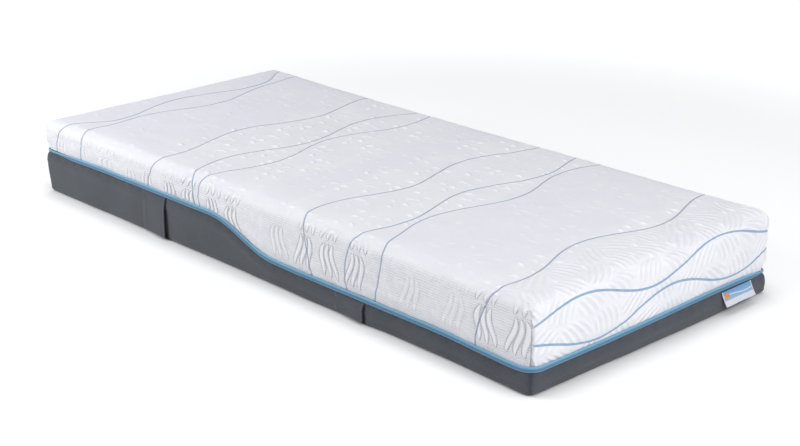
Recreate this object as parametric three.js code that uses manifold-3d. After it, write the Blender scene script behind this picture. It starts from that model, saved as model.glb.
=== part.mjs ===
// A pressure relief mattress for a profiling hospital bed, in millimetres.
// The origin is the centre of the underside, +X runs to the foot end and +Z is up.
// A zip all the way round joins a quilted top cover to a dark lower cover, and layers of foam fill them.
// The mattress bends at the hip and at the knee, so each layer that runs along its whole length is three
// solids, one for each section: back, seat and legs.
import * as THREE from "three";
import { mergeVertices } from "three/addons/utils/BufferGeometryUtils.js";
import Module from "manifold-3d";

const wasm = await Module();
wasm.setup();

// Driving dimensions.
const LENGTH = 2000;
const WIDTH = 900;
const HEIGHT = 230;
const HIP_X = -200; // the fold between the back and seat sections
const KNEE_X = 200; // the fold between the seat and leg sections
const GAP = 0.4; // clearance between neighbouring pieces
const BEYOND = 100; // how far a cutting block reaches past the mattress

// The outer skin: plan corners and the rolled top and bottom edges.
const CORNER_RADIUS = 40;
const TOP_EDGE_RADIUS = 30;
const BOTTOM_EDGE_RADIUS = 18;
const CORNER_SEGMENTS = 5;
const EDGE_SEGMENTS = 3;

// Cloth and foam thicknesses, from the outside in.
const COVER_THICKNESS = 3;
const BORDER_THICKNESS = 5;
const BASE_THICKNESS = 4;
const BASE_INSET = 25; // from the side of the mattress to the base panel's sewn edge
const WADDING_THICKNESS = 6;
const FOAM_INSET = COVER_THICKNESS + WADDING_THICKNESS + 2.5 * GAP;
const FOAM_BOTTOM = BORDER_THICKNESS + GAP;
const CORE_TOP = 110;
const TRANSITION_TOP = 150;
const BOLSTER_WIDTH = 80;
const HEEL_START_X = 640;
const CELL_LENGTH = 100; // of the visco layer's cells; the core's slits lie midway between the channels
const CELL_ROWS = 8;

// The zip line's height over the floor: high at the back section, stepping down past the hip.
const ZIP_AT_HEAD = 145;
const ZIP_AT_BACK = 136;
const ZIP_AT_LEGS = 69;
const ZIP_AT_FOOT = 55;
const ZIP_STEP_START_X = -170;
const ZIP_STEP_END_X = 100;
const ZIP_HEAD_RISE_X = -800;

// The blue guard band over the zip.
const BAND_HEIGHT = 14;
const BAND_THICKNESS = 6;
const BAND_STANDOFF = 3.2;

// The zip: cloth tapes, coils and the opening between the two covers.
const SLOT_HALF = 4; // half the height of the opening that the band hides
const TAPE_INSET = BORDER_THICKNESS + GAP;
const TAPE_THICKNESS = 1.2;
const TAPE_HEIGHT = 16;
const COIL_INSET = 4.6;
const COIL_THICKNESS = 2.8;
const COIL_HEIGHT = 2;
const COIL_PART = 0.7; // from the zip line to each coil
const SLIDER_PARKED_Y = -350;
const SLIDER_LENGTH = 12;
const SLIDER_HALF_HEIGHT = 3.6;
const SLIDER_FRONT = [2.6, 4.2]; // the front plate's depth in from the side of the mattress
const SLIDER_BACK = [7.8, 9]; // the back plate's, behind the coils
const SLIDER_WEB_HALF = 0.3; // half the thickness of the web that runs between the coils
const PULL_LUG_RADIUS = 1.5;
const PULL_LUG_REACH = 2.2; // how far the lug stands out past the side
const PULL_LUG_HEAD_RADIUS = 2.8;
const PULL_LUG_HEAD = 0.7;
const PULL_THICKNESS = 1.2;
const PULL_OUT = 0.6; // from the side of the mattress to the pull's inner face

// The carry handles along each long side.
const HEAD_HANDLE_X = -439;
const FOOT_HANDLE_X = 397;
const HANDLE_WIDTH = 116;
const HANDLE_THICKNESS = 2.5;
const HANDLE_STANDOFF = 0.6;
const HANDLE_BOW = 15; // how far the strap's outer face stands out from the side
const HANDLE_TUCK = 5; // how far it turns in under the bottom edge
const HANDLE_BOTTOM = 0.5;

// The woven label under the band at the foot end.
const LABEL_WIDTH = 113;
const LABEL_HEIGHT = 39;
const LABEL_THICKNESS = 1;
const LABEL_Y = 323;
const LABEL_OUT = 1.2; // from the side of the mattress to the label's sewn edge
const LABEL_LIFT = THREE.MathUtils.degToRad(40);

const PAST_END = LENGTH / 2 + BEYOND;
const SECTIONS = {
  back: [-PAST_END, HIP_X],
  seat: [HIP_X, KNEE_X],
  legs: [KNEE_X, PAST_END],
};

// A closed three.js geometry as a manifold-3d solid.
function solidOf(geometry) {
  const bare = geometry.clone();
  bare.deleteAttribute("normal");
  bare.deleteAttribute("uv");
  const merged = mergeVertices(bare, 1e-4);
  const vertProperties = merged.attributes.position.array;
  const triVerts = new Uint32Array(merged.index.array);
  return new wasm.Manifold(new wasm.Mesh({ numProp: 3, vertProperties, triVerts }));
}

function geometryOf(solid) {
  const { vertProperties, triVerts } = solid.getMesh();
  const geometry = new THREE.BufferGeometry();
  geometry.setAttribute("position", new THREE.BufferAttribute(vertProperties, 3));
  geometry.setIndex(new THREE.BufferAttribute(triVerts, 1));
  geometry.computeVertexNormals();
  return geometry;
}

function blockOf(x0, x1, y0, y1, z0, z1) {
  const box = new THREE.BoxGeometry(x1 - x0, y1 - y0, z1 - z0);
  return solidOf(box.translate((x0 + x1) / 2, (y0 + y1) / 2, (z0 + z1) / 2));
}

// A rectangle with rounded corners, centred on the origin.
function roundedRectangle(length, width, radius) {
  const x = length / 2;
  const y = width / 2;
  const shape = new THREE.Shape();
  shape.moveTo(-x + radius, -y);
  shape.absarc(x - radius, -y + radius, radius, -Math.PI / 2, 0);
  shape.absarc(x - radius, y - radius, radius, 0, Math.PI / 2);
  shape.absarc(-x + radius, y - radius, radius, Math.PI / 2, Math.PI);
  shape.absarc(-x + radius, -y + radius, radius, Math.PI, Math.PI * 1.5);
  return shape;
}

// An upright prism on the mattress's own outline, moved inwards by an inset (outwards when negative).
function outlinePrism(inset, bottom, top) {
  const shape = roundedRectangle(LENGTH - 2 * inset, WIDTH - 2 * inset, CORNER_RADIUS - inset);
  const geometry = new THREE.ExtrudeGeometry(shape, {
    depth: top - bottom,
    bevelEnabled: false,
    curveSegments: CORNER_SEGMENTS,
  });
  return solidOf(geometry.translate(0, 0, bottom));
}

// The same outline with both its ends rolled over, so that one end can be cut off and the other kept.
function rolledPrism(inset, bottom, top, edgeRadius) {
  const roll = edgeRadius - inset;
  const shape = roundedRectangle(
    LENGTH - 2 * inset - 2 * roll,
    WIDTH - 2 * inset - 2 * roll,
    CORNER_RADIUS - inset - roll,
  );
  const geometry = new THREE.ExtrudeGeometry(shape, {
    depth: top - bottom - 2 * roll,
    bevelThickness: roll,
    bevelSize: roll,
    bevelSegments: EDGE_SEGMENTS,
    curveSegments: CORNER_SEGMENTS,
  });
  return solidOf(geometry.translate(0, 0, bottom + roll));
}

// The whole mattress shrunk by an inset on every side, or by another height at the bottom.
function envelope(inset, bottom = inset) {
  const top = HEIGHT - inset;
  const bottomRadius = Math.max(BOTTOM_EDGE_RADIUS, inset + 1);
  const rolledOver = rolledPrism(inset, bottom - HEIGHT, top, TOP_EDGE_RADIUS);
  const rolledUnder = rolledPrism(inset, bottom, top + HEIGHT, bottomRadius);
  return rolledOver.intersect(rolledUnder);
}

// The zip line along the sides, as a height for each x.
function zipHeight(x) {
  const { smoothstep, lerp } = THREE.MathUtils;
  const stepDown = smoothstep(x, ZIP_STEP_START_X, ZIP_STEP_END_X);
  const headRise = 1 - smoothstep(x, -LENGTH / 2, ZIP_HEAD_RISE_X);
  const footFall = Math.max(0, (x - ZIP_STEP_END_X) / (LENGTH / 2 - ZIP_STEP_END_X));
  const back = lerp(ZIP_AT_BACK, ZIP_AT_HEAD, headRise);
  const legs = lerp(ZIP_AT_LEGS, ZIP_AT_FOOT, Math.min(1, footFall));
  return lerp(back, legs, stepDown);
}

// The x places where the zip line is sampled: close together where it steps, sparse where it runs straight.
function zipStations() {
  const stations = [-PAST_END, -LENGTH / 2, (ZIP_HEAD_RISE_X - LENGTH / 2) / 2, ZIP_HEAD_RISE_X];
  const steps = 10;
  for (let i = 0; i <= steps; i += 1) {
    stations.push(THREE.MathUtils.lerp(ZIP_STEP_START_X, ZIP_STEP_END_X, i / steps));
  }
  stations.push(LENGTH / 2, PAST_END);
  return stations;
}

// Everything between two offsets from the zip line, right across the mattress.
function zipSlab(below, above) {
  const stations = zipStations();
  const lower = stations.map((x) => new THREE.Vector2(x, zipHeight(x) + below));
  const upper = stations.map((x) => new THREE.Vector2(x, zipHeight(x) + above));
  const shape = new THREE.Shape([...lower, ...upper.reverse()]);
  const depth = WIDTH + 2 * BEYOND;
  const geometry = new THREE.ExtrudeGeometry(shape, { depth, bevelEnabled: false });
  return solidOf(geometry.rotateX(Math.PI / 2).translate(0, depth / 2, 0));
}

// The whole space of one section, less half a gap at each fold.
function sectionBlock(section) {
  const [start, end] = SECTIONS[section];
  const side = WIDTH / 2 + BEYOND;
  return blockOf(start + GAP / 2, end - GAP / 2, -side, side, -BEYOND, HEIGHT + BEYOND);
}

// A skin of cloth that follows the mattress's outside from one inset to a deeper one.
function skin(outerInset, innerInset) {
  return envelope(outerInset).subtract(envelope(innerInset));
}

// An upright ring of cloth round the mattress.
function ring(outerInset, innerInset) {
  return outlinePrism(outerInset, 0, HEIGHT).subtract(outlinePrism(innerInset, -1, HEIGHT + 1));
}

const TEXTILE = {
  white_knit: { color: 0xe9e9ec, roughness: 0.85 },
  fibre_wadding: { color: 0xf4f4f2, roughness: 0.95 },
  blue_band: { color: 0x5f91b4, roughness: 0.6 },
  zip_tape: { color: 0x3a3f45, roughness: 0.8 },
  dark_border: { color: 0x50555c, roughness: 0.85 },
  base_cloth: { color: 0x3b3f44, roughness: 0.9 },
  strap_webbing: { color: 0x4a4f56, roughness: 0.85 },
  label_satin: { color: 0x6fa6cc, roughness: 0.45 },
};
const FOAM = {
  visco_foam: { color: 0xe8dfc4, roughness: 0.95 },
  transition_foam: { color: 0x9fc6d8, roughness: 0.95 },
  core_foam: { color: 0xd9dde0, roughness: 0.95 },
  firm_foam: { color: 0xb9c3b0, roughness: 0.95 },
  heel_foam: { color: 0xc9b7d6, roughness: 0.95 },
};
const HARDWARE = {
  zip_metal: { color: 0xa9adb2, roughness: 0.3, metalness: 1 },
};
const MATERIAL = { ...TEXTILE, ...FOAM, ...HARDWARE };

function piece(name, geometry, material) {
  const mesh = new THREE.Mesh(geometry, new THREE.MeshStandardMaterial(MATERIAL[material]));
  mesh.name = name;
  return mesh;
}

// A layer cut at the hip and the knee, with each part named after its section. A ring leaves two strips
// in the seat section, one on each long side.
function sectionPieces(name, solid, material) {
  return Object.keys(SECTIONS).flatMap((section) => {
    const parts = solid.intersect(sectionBlock(section)).decompose();
    const suffix = (part) => (part.boundingBox().max[1] < 0 ? "_near" : "_far");
    const nameOf = (part) => `${name}_${section}${parts.length > 1 ? suffix(part) : ""}`;
    return parts.map((part) => piece(nameOf(part), geometryOf(part), material));
  });
}

// Quilted top cover, its wadding and the guard band sewn to its lower edge.
function topCover() {
  const aboveSlot = zipSlab(SLOT_HALF, 2 * HEIGHT);
  const aboveTape = zipSlab(TAPE_HEIGHT + SLOT_HALF, 2 * HEIGHT);
  const wadding = skin(COVER_THICKNESS + GAP, COVER_THICKNESS + GAP + WADDING_THICKNESS);
  const bandRing = ring(-BAND_STANDOFF - BAND_THICKNESS, -BAND_STANDOFF);
  const band = bandRing.intersect(zipSlab(-BAND_HEIGHT / 2, BAND_HEIGHT / 2));
  return [
    ...sectionPieces("top_cover", skin(0, COVER_THICKNESS).intersect(aboveSlot), "white_knit"),
    ...sectionPieces("quilt_wadding", wadding.intersect(aboveTape), "fibre_wadding"),
    ...sectionPieces("zip_guard_band", band, "blue_band"),
  ];
}

// One side of the zip: a tape with its coil along the edge. The side is 1 above the zip line, -1 below.
function zipTape(name, side) {
  const between = (...edges) => zipSlab(...edges.map((edge) => side * edge).sort((a, b) => a - b));
  const tape = ring(TAPE_INSET, TAPE_INSET + TAPE_THICKNESS).intersect(between(COIL_PART, TAPE_HEIGHT));
  const coilRing = ring(COIL_INSET, COIL_INSET + COIL_THICKNESS);
  const coil = coilRing.intersect(between(COIL_PART, COIL_PART + COIL_HEIGHT));
  return sectionPieces(name, tape.add(coil), "zip_tape");
}

// The plan region of one border panel: mitred at 45 degrees to the corner seams on either side of it.
function mitredRegion(panel) {
  const x = PAST_END;
  const y = WIDTH / 2 + BEYOND;
  const middle = LENGTH / 2 - WIDTH / 2; // where the mitre lines meet on the centre line
  const corners = {
    near: [[-x, -y], [x, -y], [middle, 0], [-middle, 0]],
    far: [[x, y], [-x, y], [-middle, 0], [middle, 0]],
    head: [[-x, y], [-x, -y], [-middle, 0]],
    foot: [[x, -y], [x, y], [middle, 0]],
  }[panel];
  const away = { near: [0, -GAP], far: [0, GAP], head: [-GAP, 0], foot: [GAP, 0] }[panel];
  const shape = new THREE.Shape(corners.map(([px, py]) => new THREE.Vector2(px, py)));
  const geometry = new THREE.ExtrudeGeometry(shape, { depth: 2 * HEIGHT, bevelEnabled: false });
  return solidOf(geometry.translate(away[0], away[1], -HEIGHT));
}

// Lower cover: four dark border panels that roll under the bottom edge, and the base panel.
function lowerCover() {
  const belowSlot = zipSlab(-2 * HEIGHT, -SLOT_HALF);
  const baseHole = outlinePrism(BASE_INSET - GAP, -1, BOTTOM_EDGE_RADIUS);
  const border = skin(0, BORDER_THICKNESS).intersect(belowSlot).subtract(baseHole);
  const panel = (side) => border.intersect(mitredRegion(side));
  return [
    ...sectionPieces("border_panel_near", panel("near"), "dark_border"),
    ...sectionPieces("border_panel_far", panel("far"), "dark_border"),
    piece("border_panel_head", geometryOf(panel("head")), "dark_border"),
    piece("border_panel_foot", geometryOf(panel("foot")), "dark_border"),
    ...sectionPieces("base_panel", outlinePrism(BASE_INSET, 0, BASE_THICKNESS), "base_cloth"),
  ];
}

// Cuts across the underside of the core, so that it bends with the bed.
function profilingSlits() {
  const slitWidth = 3;
  const depth = 60;
  const slits = [];
  for (let x = -LENGTH / 2 + 1.5 * CELL_LENGTH; x < LENGTH / 2 - CELL_LENGTH; x += CELL_LENGTH) {
    slits.push(blockOf(x, x + slitWidth, -WIDTH, WIDTH, -1, FOAM_BOTTOM + depth));
  }
  return slits.reduce((all, slit) => all.add(slit));
}

// Channels that cut the top of the visco layer into separate cells.
function castellationChannels() {
  const half = 6; // half a channel's width
  const depth = 35;
  const floor = HEIGHT - FOAM_INSET - depth;
  const channels = [];
  for (let x = CELL_LENGTH - LENGTH / 2; x < LENGTH / 2; x += CELL_LENGTH) {
    channels.push(blockOf(x - half, x + half, -WIDTH, WIDTH, floor, 2 * HEIGHT));
  }
  for (let row = 1 - CELL_ROWS / 2; row < CELL_ROWS / 2; row += 1) {
    const y = (row * (WIDTH - 2 * FOAM_INSET)) / CELL_ROWS;
    channels.push(blockOf(-LENGTH, LENGTH, y - half, y + half, floor, 2 * HEIGHT));
  }
  return channels.reduce((all, cut) => all.add(cut));
}

function foamLayers() {
  const inside = envelope(FOAM_INSET, FOAM_BOTTOM);
  const end = LENGTH / 2;
  const side = WIDTH / 2;
  const bolsterEdge = side - FOAM_INSET - BOLSTER_WIDTH;
  const coreEdge = bolsterEdge - GAP;
  const layer = (x0, x1, y0, y1, z0, z1) => inside.intersect(blockOf(x0, x1, y0, y1, z0, z1));
  const core = layer(-end, end, -coreEdge, coreEdge, 0, CORE_TOP).subtract(profilingSlits());
  const nearBolster = layer(-end, end, -side, -bolsterEdge, 0, TRANSITION_TOP);
  const farBolster = layer(-end, end, bolsterEdge, side, 0, TRANSITION_TOP);
  const transition = layer(-end, HEEL_START_X - GAP, -coreEdge, coreEdge, CORE_TOP + GAP, TRANSITION_TOP);
  const heel = layer(HEEL_START_X, end, -coreEdge, coreEdge, CORE_TOP + GAP, TRANSITION_TOP);
  const visco = layer(-end, end, -side, side, TRANSITION_TOP + GAP, HEIGHT);
  return [
    ...sectionPieces("core_foam", core, "core_foam"),
    ...sectionPieces("side_bolster_near", nearBolster, "firm_foam"),
    ...sectionPieces("side_bolster_far", farBolster, "firm_foam"),
    ...sectionPieces("transition_foam", transition, "transition_foam"),
    piece("heel_zone_insert", geometryOf(heel), "heel_foam"),
    ...sectionPieces("visco_layer", visco.subtract(castellationChannels()), "visco_foam"),
  ];
}

// A carry strap: sewn below the band, bowed clear of the border and tucked under the bottom edge.
// The shape's first axis points out from the side, and its second axis up.
function handle(name, x, side) {
  const top = zipHeight(x) - BAND_HEIGHT / 2 - HANDLE_THICKNESS;
  const inner = HANDLE_BOW - HANDLE_THICKNESS;
  const bottom = HANDLE_BOTTOM;
  const turn = bottom + HANDLE_BOW; // where the strap starts to turn under
  const easing = HANDLE_BOW / 2; // how far the curves' control points stand off
  const shape = new THREE.Shape();
  shape.moveTo(HANDLE_STANDOFF, top);
  shape.bezierCurveTo(HANDLE_BOW, top - easing, HANDLE_BOW, turn + easing, HANDLE_BOW, turn);
  shape.quadraticCurveTo(HANDLE_BOW, bottom, -HANDLE_TUCK, bottom);
  shape.lineTo(-HANDLE_TUCK, bottom + HANDLE_THICKNESS);
  shape.quadraticCurveTo(inner, bottom + HANDLE_THICKNESS, inner, turn);
  shape.bezierCurveTo(inner, turn + easing, inner, top - easing, HANDLE_STANDOFF, top - HANDLE_THICKNESS);
  const geometry = new THREE.ExtrudeGeometry(shape, {
    depth: HANDLE_WIDTH,
    bevelEnabled: false,
    curveSegments: 8,
  });
  // The outline's first axis turns to point out from the side, and the extrusion to run along X.
  geometry.translate(0, 0, -HANDLE_WIDTH / 2).rotateX(Math.PI / 2).rotateZ((side * Math.PI) / 2);
  const mesh = piece(name, geometry, "strap_webbing");
  mesh.position.set(x, (side * WIDTH) / 2, 0);
  return mesh;
}

// A woven label, sewn under the band at the foot end and lifted away from the border.
function label() {
  const geometry = new THREE.BoxGeometry(LABEL_THICKNESS, LABEL_WIDTH, LABEL_HEIGHT);
  const mesh = piece("care_label", geometry.translate(0, 0, -LABEL_HEIGHT / 2), "label_satin");
  mesh.position.set(LENGTH / 2 + LABEL_OUT, LABEL_Y, ZIP_AT_FOOT - BAND_HEIGHT / 2 - 2 * LABEL_THICKNESS);
  mesh.rotation.y = -LABEL_LIFT;
  return mesh;
}

// The slider that closes the zip at the head end: two plates joined by a web that runs between the coils,
// and a lug in front that carries the pull.
function zipSlider() {
  const block = (x0, x1, half) => blockOf(x0, x1, -SLIDER_LENGTH / 2, SLIDER_LENGTH / 2, -half, half);
  // A round bar from one depth to another, along X.
  const bar = (radius, x0, x1) => {
    const cylinder = new THREE.CylinderGeometry(radius, radius, x1 - x0, 16);
    return solidOf(cylinder.rotateZ(Math.PI / 2).translate((x0 + x1) / 2, 0, 0));
  };
  const body = block(...SLIDER_FRONT, SLIDER_HALF_HEIGHT)
    .add(block(...SLIDER_BACK, SLIDER_HALF_HEIGHT))
    .add(block(SLIDER_FRONT[0], SLIDER_BACK[1], SLIDER_WEB_HALF))
    .add(bar(PULL_LUG_RADIUS, -PULL_LUG_REACH - PULL_LUG_HEAD / 2, SLIDER_FRONT[0] + GAP))
    .add(bar(PULL_LUG_HEAD_RADIUS, -PULL_LUG_REACH - PULL_LUG_HEAD, -PULL_LUG_REACH));
  const mesh = piece("zip_slider", geometryOf(body), "zip_metal");
  mesh.position.set(-LENGTH / 2, SLIDER_PARKED_Y, ZIP_AT_HEAD);
  return mesh;
}

// The pull: a tab that hangs from the slider's lug in front of the border.
function zipPull() {
  const halfWidth = 4;
  const drop = 24;
  const shape = new THREE.Shape();
  shape.moveTo(-halfWidth, 0);
  shape.lineTo(-halfWidth, -drop + halfWidth);
  shape.absarc(0, -drop + halfWidth, halfWidth, Math.PI, 2 * Math.PI);
  shape.lineTo(halfWidth, 0);
  shape.absarc(0, 0, halfWidth, 0, Math.PI);
  const eye = new THREE.Path();
  eye.absarc(0, 0, PULL_LUG_RADIUS + GAP, 0, 2 * Math.PI);
  shape.holes.push(eye);
  const geometry = new THREE.ExtrudeGeometry(shape, {
    depth: PULL_THICKNESS,
    bevelEnabled: false,
    curveSegments: 8,
  });
  // Stand the tab up in the YZ plane, just outside the head end.
  geometry.rotateX(Math.PI / 2).rotateZ(-Math.PI / 2);
  const mesh = piece("zip_pull", geometry, "zip_metal");
  mesh.position.set(-LENGTH / 2 - PULL_OUT, SLIDER_PARKED_Y, ZIP_AT_HEAD);
  return mesh;
}

const mattress = new THREE.Group();
mattress.add(...topCover());
mattress.add(...zipTape("zip_tape_upper", 1));
mattress.add(...zipTape("zip_tape_lower", -1));
mattress.add(...lowerCover());
mattress.add(...foamLayers());
mattress.add(handle("handle_head_near", HEAD_HANDLE_X, -1));
mattress.add(handle("handle_foot_near", FOOT_HANDLE_X, -1));
mattress.add(handle("handle_head_far", HEAD_HANDLE_X, 1));
mattress.add(handle("handle_foot_far", FOOT_HANDLE_X, 1));
mattress.add(label());
mattress.add(zipSlider());
mattress.add(zipPull());

export default mattress;
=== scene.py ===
"""Pressure relief mattress: its cloth, foam and trim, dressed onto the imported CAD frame.

Metres throughout. +X is the foot end, -Y the near long side, and z 0 the floor.
"""
import math
import bpy
import numpy as np
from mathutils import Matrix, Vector


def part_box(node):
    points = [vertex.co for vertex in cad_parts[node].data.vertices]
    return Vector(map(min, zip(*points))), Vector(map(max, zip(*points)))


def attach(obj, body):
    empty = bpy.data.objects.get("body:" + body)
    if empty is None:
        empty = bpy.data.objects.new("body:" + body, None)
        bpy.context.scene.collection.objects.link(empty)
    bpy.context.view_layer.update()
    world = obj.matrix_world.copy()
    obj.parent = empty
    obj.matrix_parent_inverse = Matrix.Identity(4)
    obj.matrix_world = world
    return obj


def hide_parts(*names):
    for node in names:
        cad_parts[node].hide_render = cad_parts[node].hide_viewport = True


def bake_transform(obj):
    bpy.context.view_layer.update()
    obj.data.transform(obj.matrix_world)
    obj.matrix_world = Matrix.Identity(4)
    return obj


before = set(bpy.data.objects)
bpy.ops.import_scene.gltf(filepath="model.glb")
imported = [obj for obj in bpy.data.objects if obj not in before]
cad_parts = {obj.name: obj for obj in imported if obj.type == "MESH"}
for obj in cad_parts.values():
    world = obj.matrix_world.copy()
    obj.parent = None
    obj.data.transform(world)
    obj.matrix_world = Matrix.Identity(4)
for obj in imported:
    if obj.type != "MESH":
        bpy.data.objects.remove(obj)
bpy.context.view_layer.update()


# ---------------------------------------------------------------- what the frame says

def node_points(*names):
    """Every vertex of the named CAD nodes, as rows of x, y, z."""
    return np.array([v.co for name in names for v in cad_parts[name].data.vertices])


def layer_nodes(layer):
    """The CAD nodes that one layer is divided into along the mattress."""
    starts = [f"{layer}_{section}" for section in ("back", "seat", "legs")]
    return [name for name in sorted(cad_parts) if name.startswith(tuple(starts))]


def layer_span(layer):
    """Lowest and highest corner of a whole layer."""
    points = node_points(*layer_nodes(layer))
    return points.min(axis=0), points.max(axis=0)


HALF_X, HALF_Y, TOP = layer_span("top_cover")[1]
HIP_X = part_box("base_panel_seat")[0].x
KNEE_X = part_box("base_panel_seat")[1].x

BAND_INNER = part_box("zip_guard_band_seat_far")[0].y - HALF_Y
BAND_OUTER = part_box("zip_guard_band_seat_far")[1].y - HALF_Y
BAND_HALF_HEIGHT = 0.0072
SLOT_HALF = 0.004  # the cover and the border each stop this far from the zip


def zip_stations():
    """Heights of the zip's centre line along the near side, read off the CAD band."""
    points = node_points(*layer_nodes("zip_guard_band"))
    near = points[(points[:, 1] < -HALF_Y) & (np.abs(points[:, 0]) < HALF_X - 0.05)]
    stations = np.unique(np.round(near[:, 0], 3))
    middles = []
    for x in stations:
        heights = near[np.abs(near[:, 0] - x) < 0.001, 2]
        middles.append((heights.min() + heights.max()) / 2)
    return stations, np.array(middles)


ZIP_X, ZIP_Z = zip_stations()


# ---------------------------------------------------------------- small number helpers

def ease(value, start, end):
    """0 before start, 1 after end, and a smooth step between them."""
    t = np.clip((value - start) / (end - start), 0, 1)
    return t * t * (3 - 2 * t)


def hill(value, width):
    """1 at zero, falling away smoothly over about the width."""
    return np.exp(-(value / width) ** 2)


def cell_value(i, j, seed):
    """A repeatable value from 0 to 1 for each whole-number cell."""
    mixed = np.sin(i * 12.9898 + j * 78.233 + seed * 37.719) * 43758.5453
    return mixed - np.floor(mixed)


def lumps(x, y, size, seed):
    """Smooth repeatable bumps of about the given size, from -1 to 1."""
    u, v = x / size, y / size
    i, j = np.floor(u), np.floor(v)
    s, t = ease(u - i, 0, 1), ease(v - j, 0, 1)
    low = cell_value(i, j, seed) * (1 - s) + cell_value(i + 1, j, seed) * s
    high = cell_value(i, j + 1, seed) * (1 - s) + cell_value(i + 1, j + 1, seed) * s
    return (low * (1 - t) + high * t) * 2 - 1


FOOT_SWAY = 0.003  # the zip's line rises this far on the far half of the foot end and sinks on the near
FOOT_DROOP = 0.005  # and how much it sinks towards the foot corners


def zip_height(x, y):
    """Height of the zip's centre line at a place on the outline."""
    sway = FOOT_SWAY * np.sin(np.pi * y / HALF_Y) * ease(x, HALF_X - 0.06, HALF_X - 0.01)
    droop = -FOOT_DROOP * (y / HALF_Y) ** 4 * ease(x, HALF_X - 0.30, HALF_X - 0.02)
    return np.interp(x, ZIP_X, ZIP_Z) + sway + droop


# ---------------------------------------------------------------- surfaces

class Surface:
    """Points joined by four-sided faces, with named values kept at each point for the materials."""

    def __init__(self, points, quads, marks=None):
        self.points = np.array(points, float)
        self.quads = np.array(quads, int)
        self.marks = dict(marks or {})
        self.shading = None

    def normals(self):
        """The way out of the surface at each point."""
        corners = self.points[self.quads]
        faces = np.cross(corners[:, 2] - corners[:, 0], corners[:, 3] - corners[:, 1])
        count = len(self.points)
        flat = self.quads.ravel()
        total = [np.bincount(flat, np.repeat(faces[:, k], 4), count) for k in range(3)]
        total = np.stack(total, axis=1)
        return total / np.maximum(np.linalg.norm(total, axis=1, keepdims=True), 1e-12)

    def middles(self):
        """The middle of each face."""
        return self.points[self.quads].mean(axis=1)

    def smoothed(self, values, rounds):
        """Values at the points, each averaged with its neighbours a number of times."""
        ring = np.roll(self.quads, 1, axis=1)
        ends = np.concatenate([self.quads.ravel(), ring.ravel()])
        others = np.concatenate([ring.ravel(), self.quads.ravel()])
        count = len(self.points)
        share = np.maximum(np.bincount(ends, minlength=count), 1)
        values = np.array(values, float)
        for _ in range(rounds):
            sums = [np.bincount(ends, values[others, k], count) for k in range(values.shape[1])]
            values = 0.5 * values + 0.5 * np.stack(sums, axis=1) / share[:, None]
        return values

    def part(self, kept):
        """The surface of only some faces, shaded as if it were still joined to the rest."""
        used, index = np.unique(self.quads[kept], return_inverse=True)
        marks = {name: values[used] for name, values in self.marks.items()}
        piece = Surface(self.points[used], index.reshape(-1, 4), marks)
        whole = self.normals() if self.shading is None else self.shading
        piece.shading = whole[used]
        return piece


def joined(surfaces):
    """Several surfaces as one. A value that one of them lacks is 0 there."""
    names = {name for surface in surfaces for name in surface.marks}
    marks = {}
    for name in names:
        marks[name] = np.concatenate([s.marks.get(name, np.zeros(len(s.points))) for s in surfaces])
    starts = np.cumsum([0] + [len(s.points) for s in surfaces[:-1]])
    points = np.concatenate([s.points for s in surfaces])
    quads = np.concatenate([s.quads + start for s, start in zip(surfaces, starts)])
    return Surface(points, quads, marks)


ALL_SIDES = [(axis, end) for axis in range(3) for end in (0, 1)]
OPEN_BELOW = [side for side in ALL_SIDES if side != (2, 0)]
OPEN_ABOVE = [side for side in ALL_SIDES if side != (2, 1)]


def lattice(counts, sides):
    """The chosen sides of a box divided into cells: whole-number points, and quads facing outwards."""
    size = np.array(counts) + 1
    found = []
    for axis, end in sides:
        across, up = (axis + 1) % 3, (axis + 2) % 3
        i, j = np.meshgrid(np.arange(counts[across]), np.arange(counts[up]), indexing="ij")
        loop = [(0, 0), (1, 0), (1, 1), (0, 1)]
        if end == 0:
            loop.reverse()
        quads = np.zeros((i.size, 4, 3), int)
        quads[:, :, axis] = end * counts[axis]
        for corner, (step_across, step_up) in enumerate(loop):
            quads[:, corner, across] = i.ravel() + step_across
            quads[:, corner, up] = j.ravel() + step_up
        found.append(quads)
    corners = np.concatenate(found)
    keys = (corners[..., 0] * size[1] + corners[..., 1]) * size[2] + corners[..., 2]
    kept, index = np.unique(keys, return_inverse=True)
    return np.stack(np.unravel_index(kept, size), axis=1), index.reshape(keys.shape)


def ruled_box(xs, ys, zs, sides=ALL_SIDES):
    """A box surface whose lattice lines lie at the given coordinates."""
    steps, quads = lattice((len(xs) - 1, len(ys) - 1, len(zs) - 1), sides)
    points = np.stack([xs[steps[:, 0]], ys[steps[:, 1]], zs[steps[:, 2]]], axis=1)
    return Surface(points, quads)


def rulings(low, high, step, rim, extra=()):
    """Lattice lines from low to high about a step apart, with closer ones along both edges."""
    inner = np.linspace(low + rim, high - rim, max(2, round((high - low) / step) + 1))
    edges = rim * np.array([0, 0.3, 0.62])
    lines = np.concatenate([low + edges, inner, high - edges, list(extra)])
    return np.unique(np.round(lines, 6))


def round_edges(points, low, high, radius):
    """Rolls the edges of a box over to a radius."""
    inner = np.clip(points, np.array(low) + radius, np.array(high) - radius)
    out = points - inner
    length = np.linalg.norm(out, axis=1, keepdims=True)
    return inner + out * np.where(length > 0, radius / np.maximum(length, 1e-9), 0)


# ---------------------------------------------------------------- pieces

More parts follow.
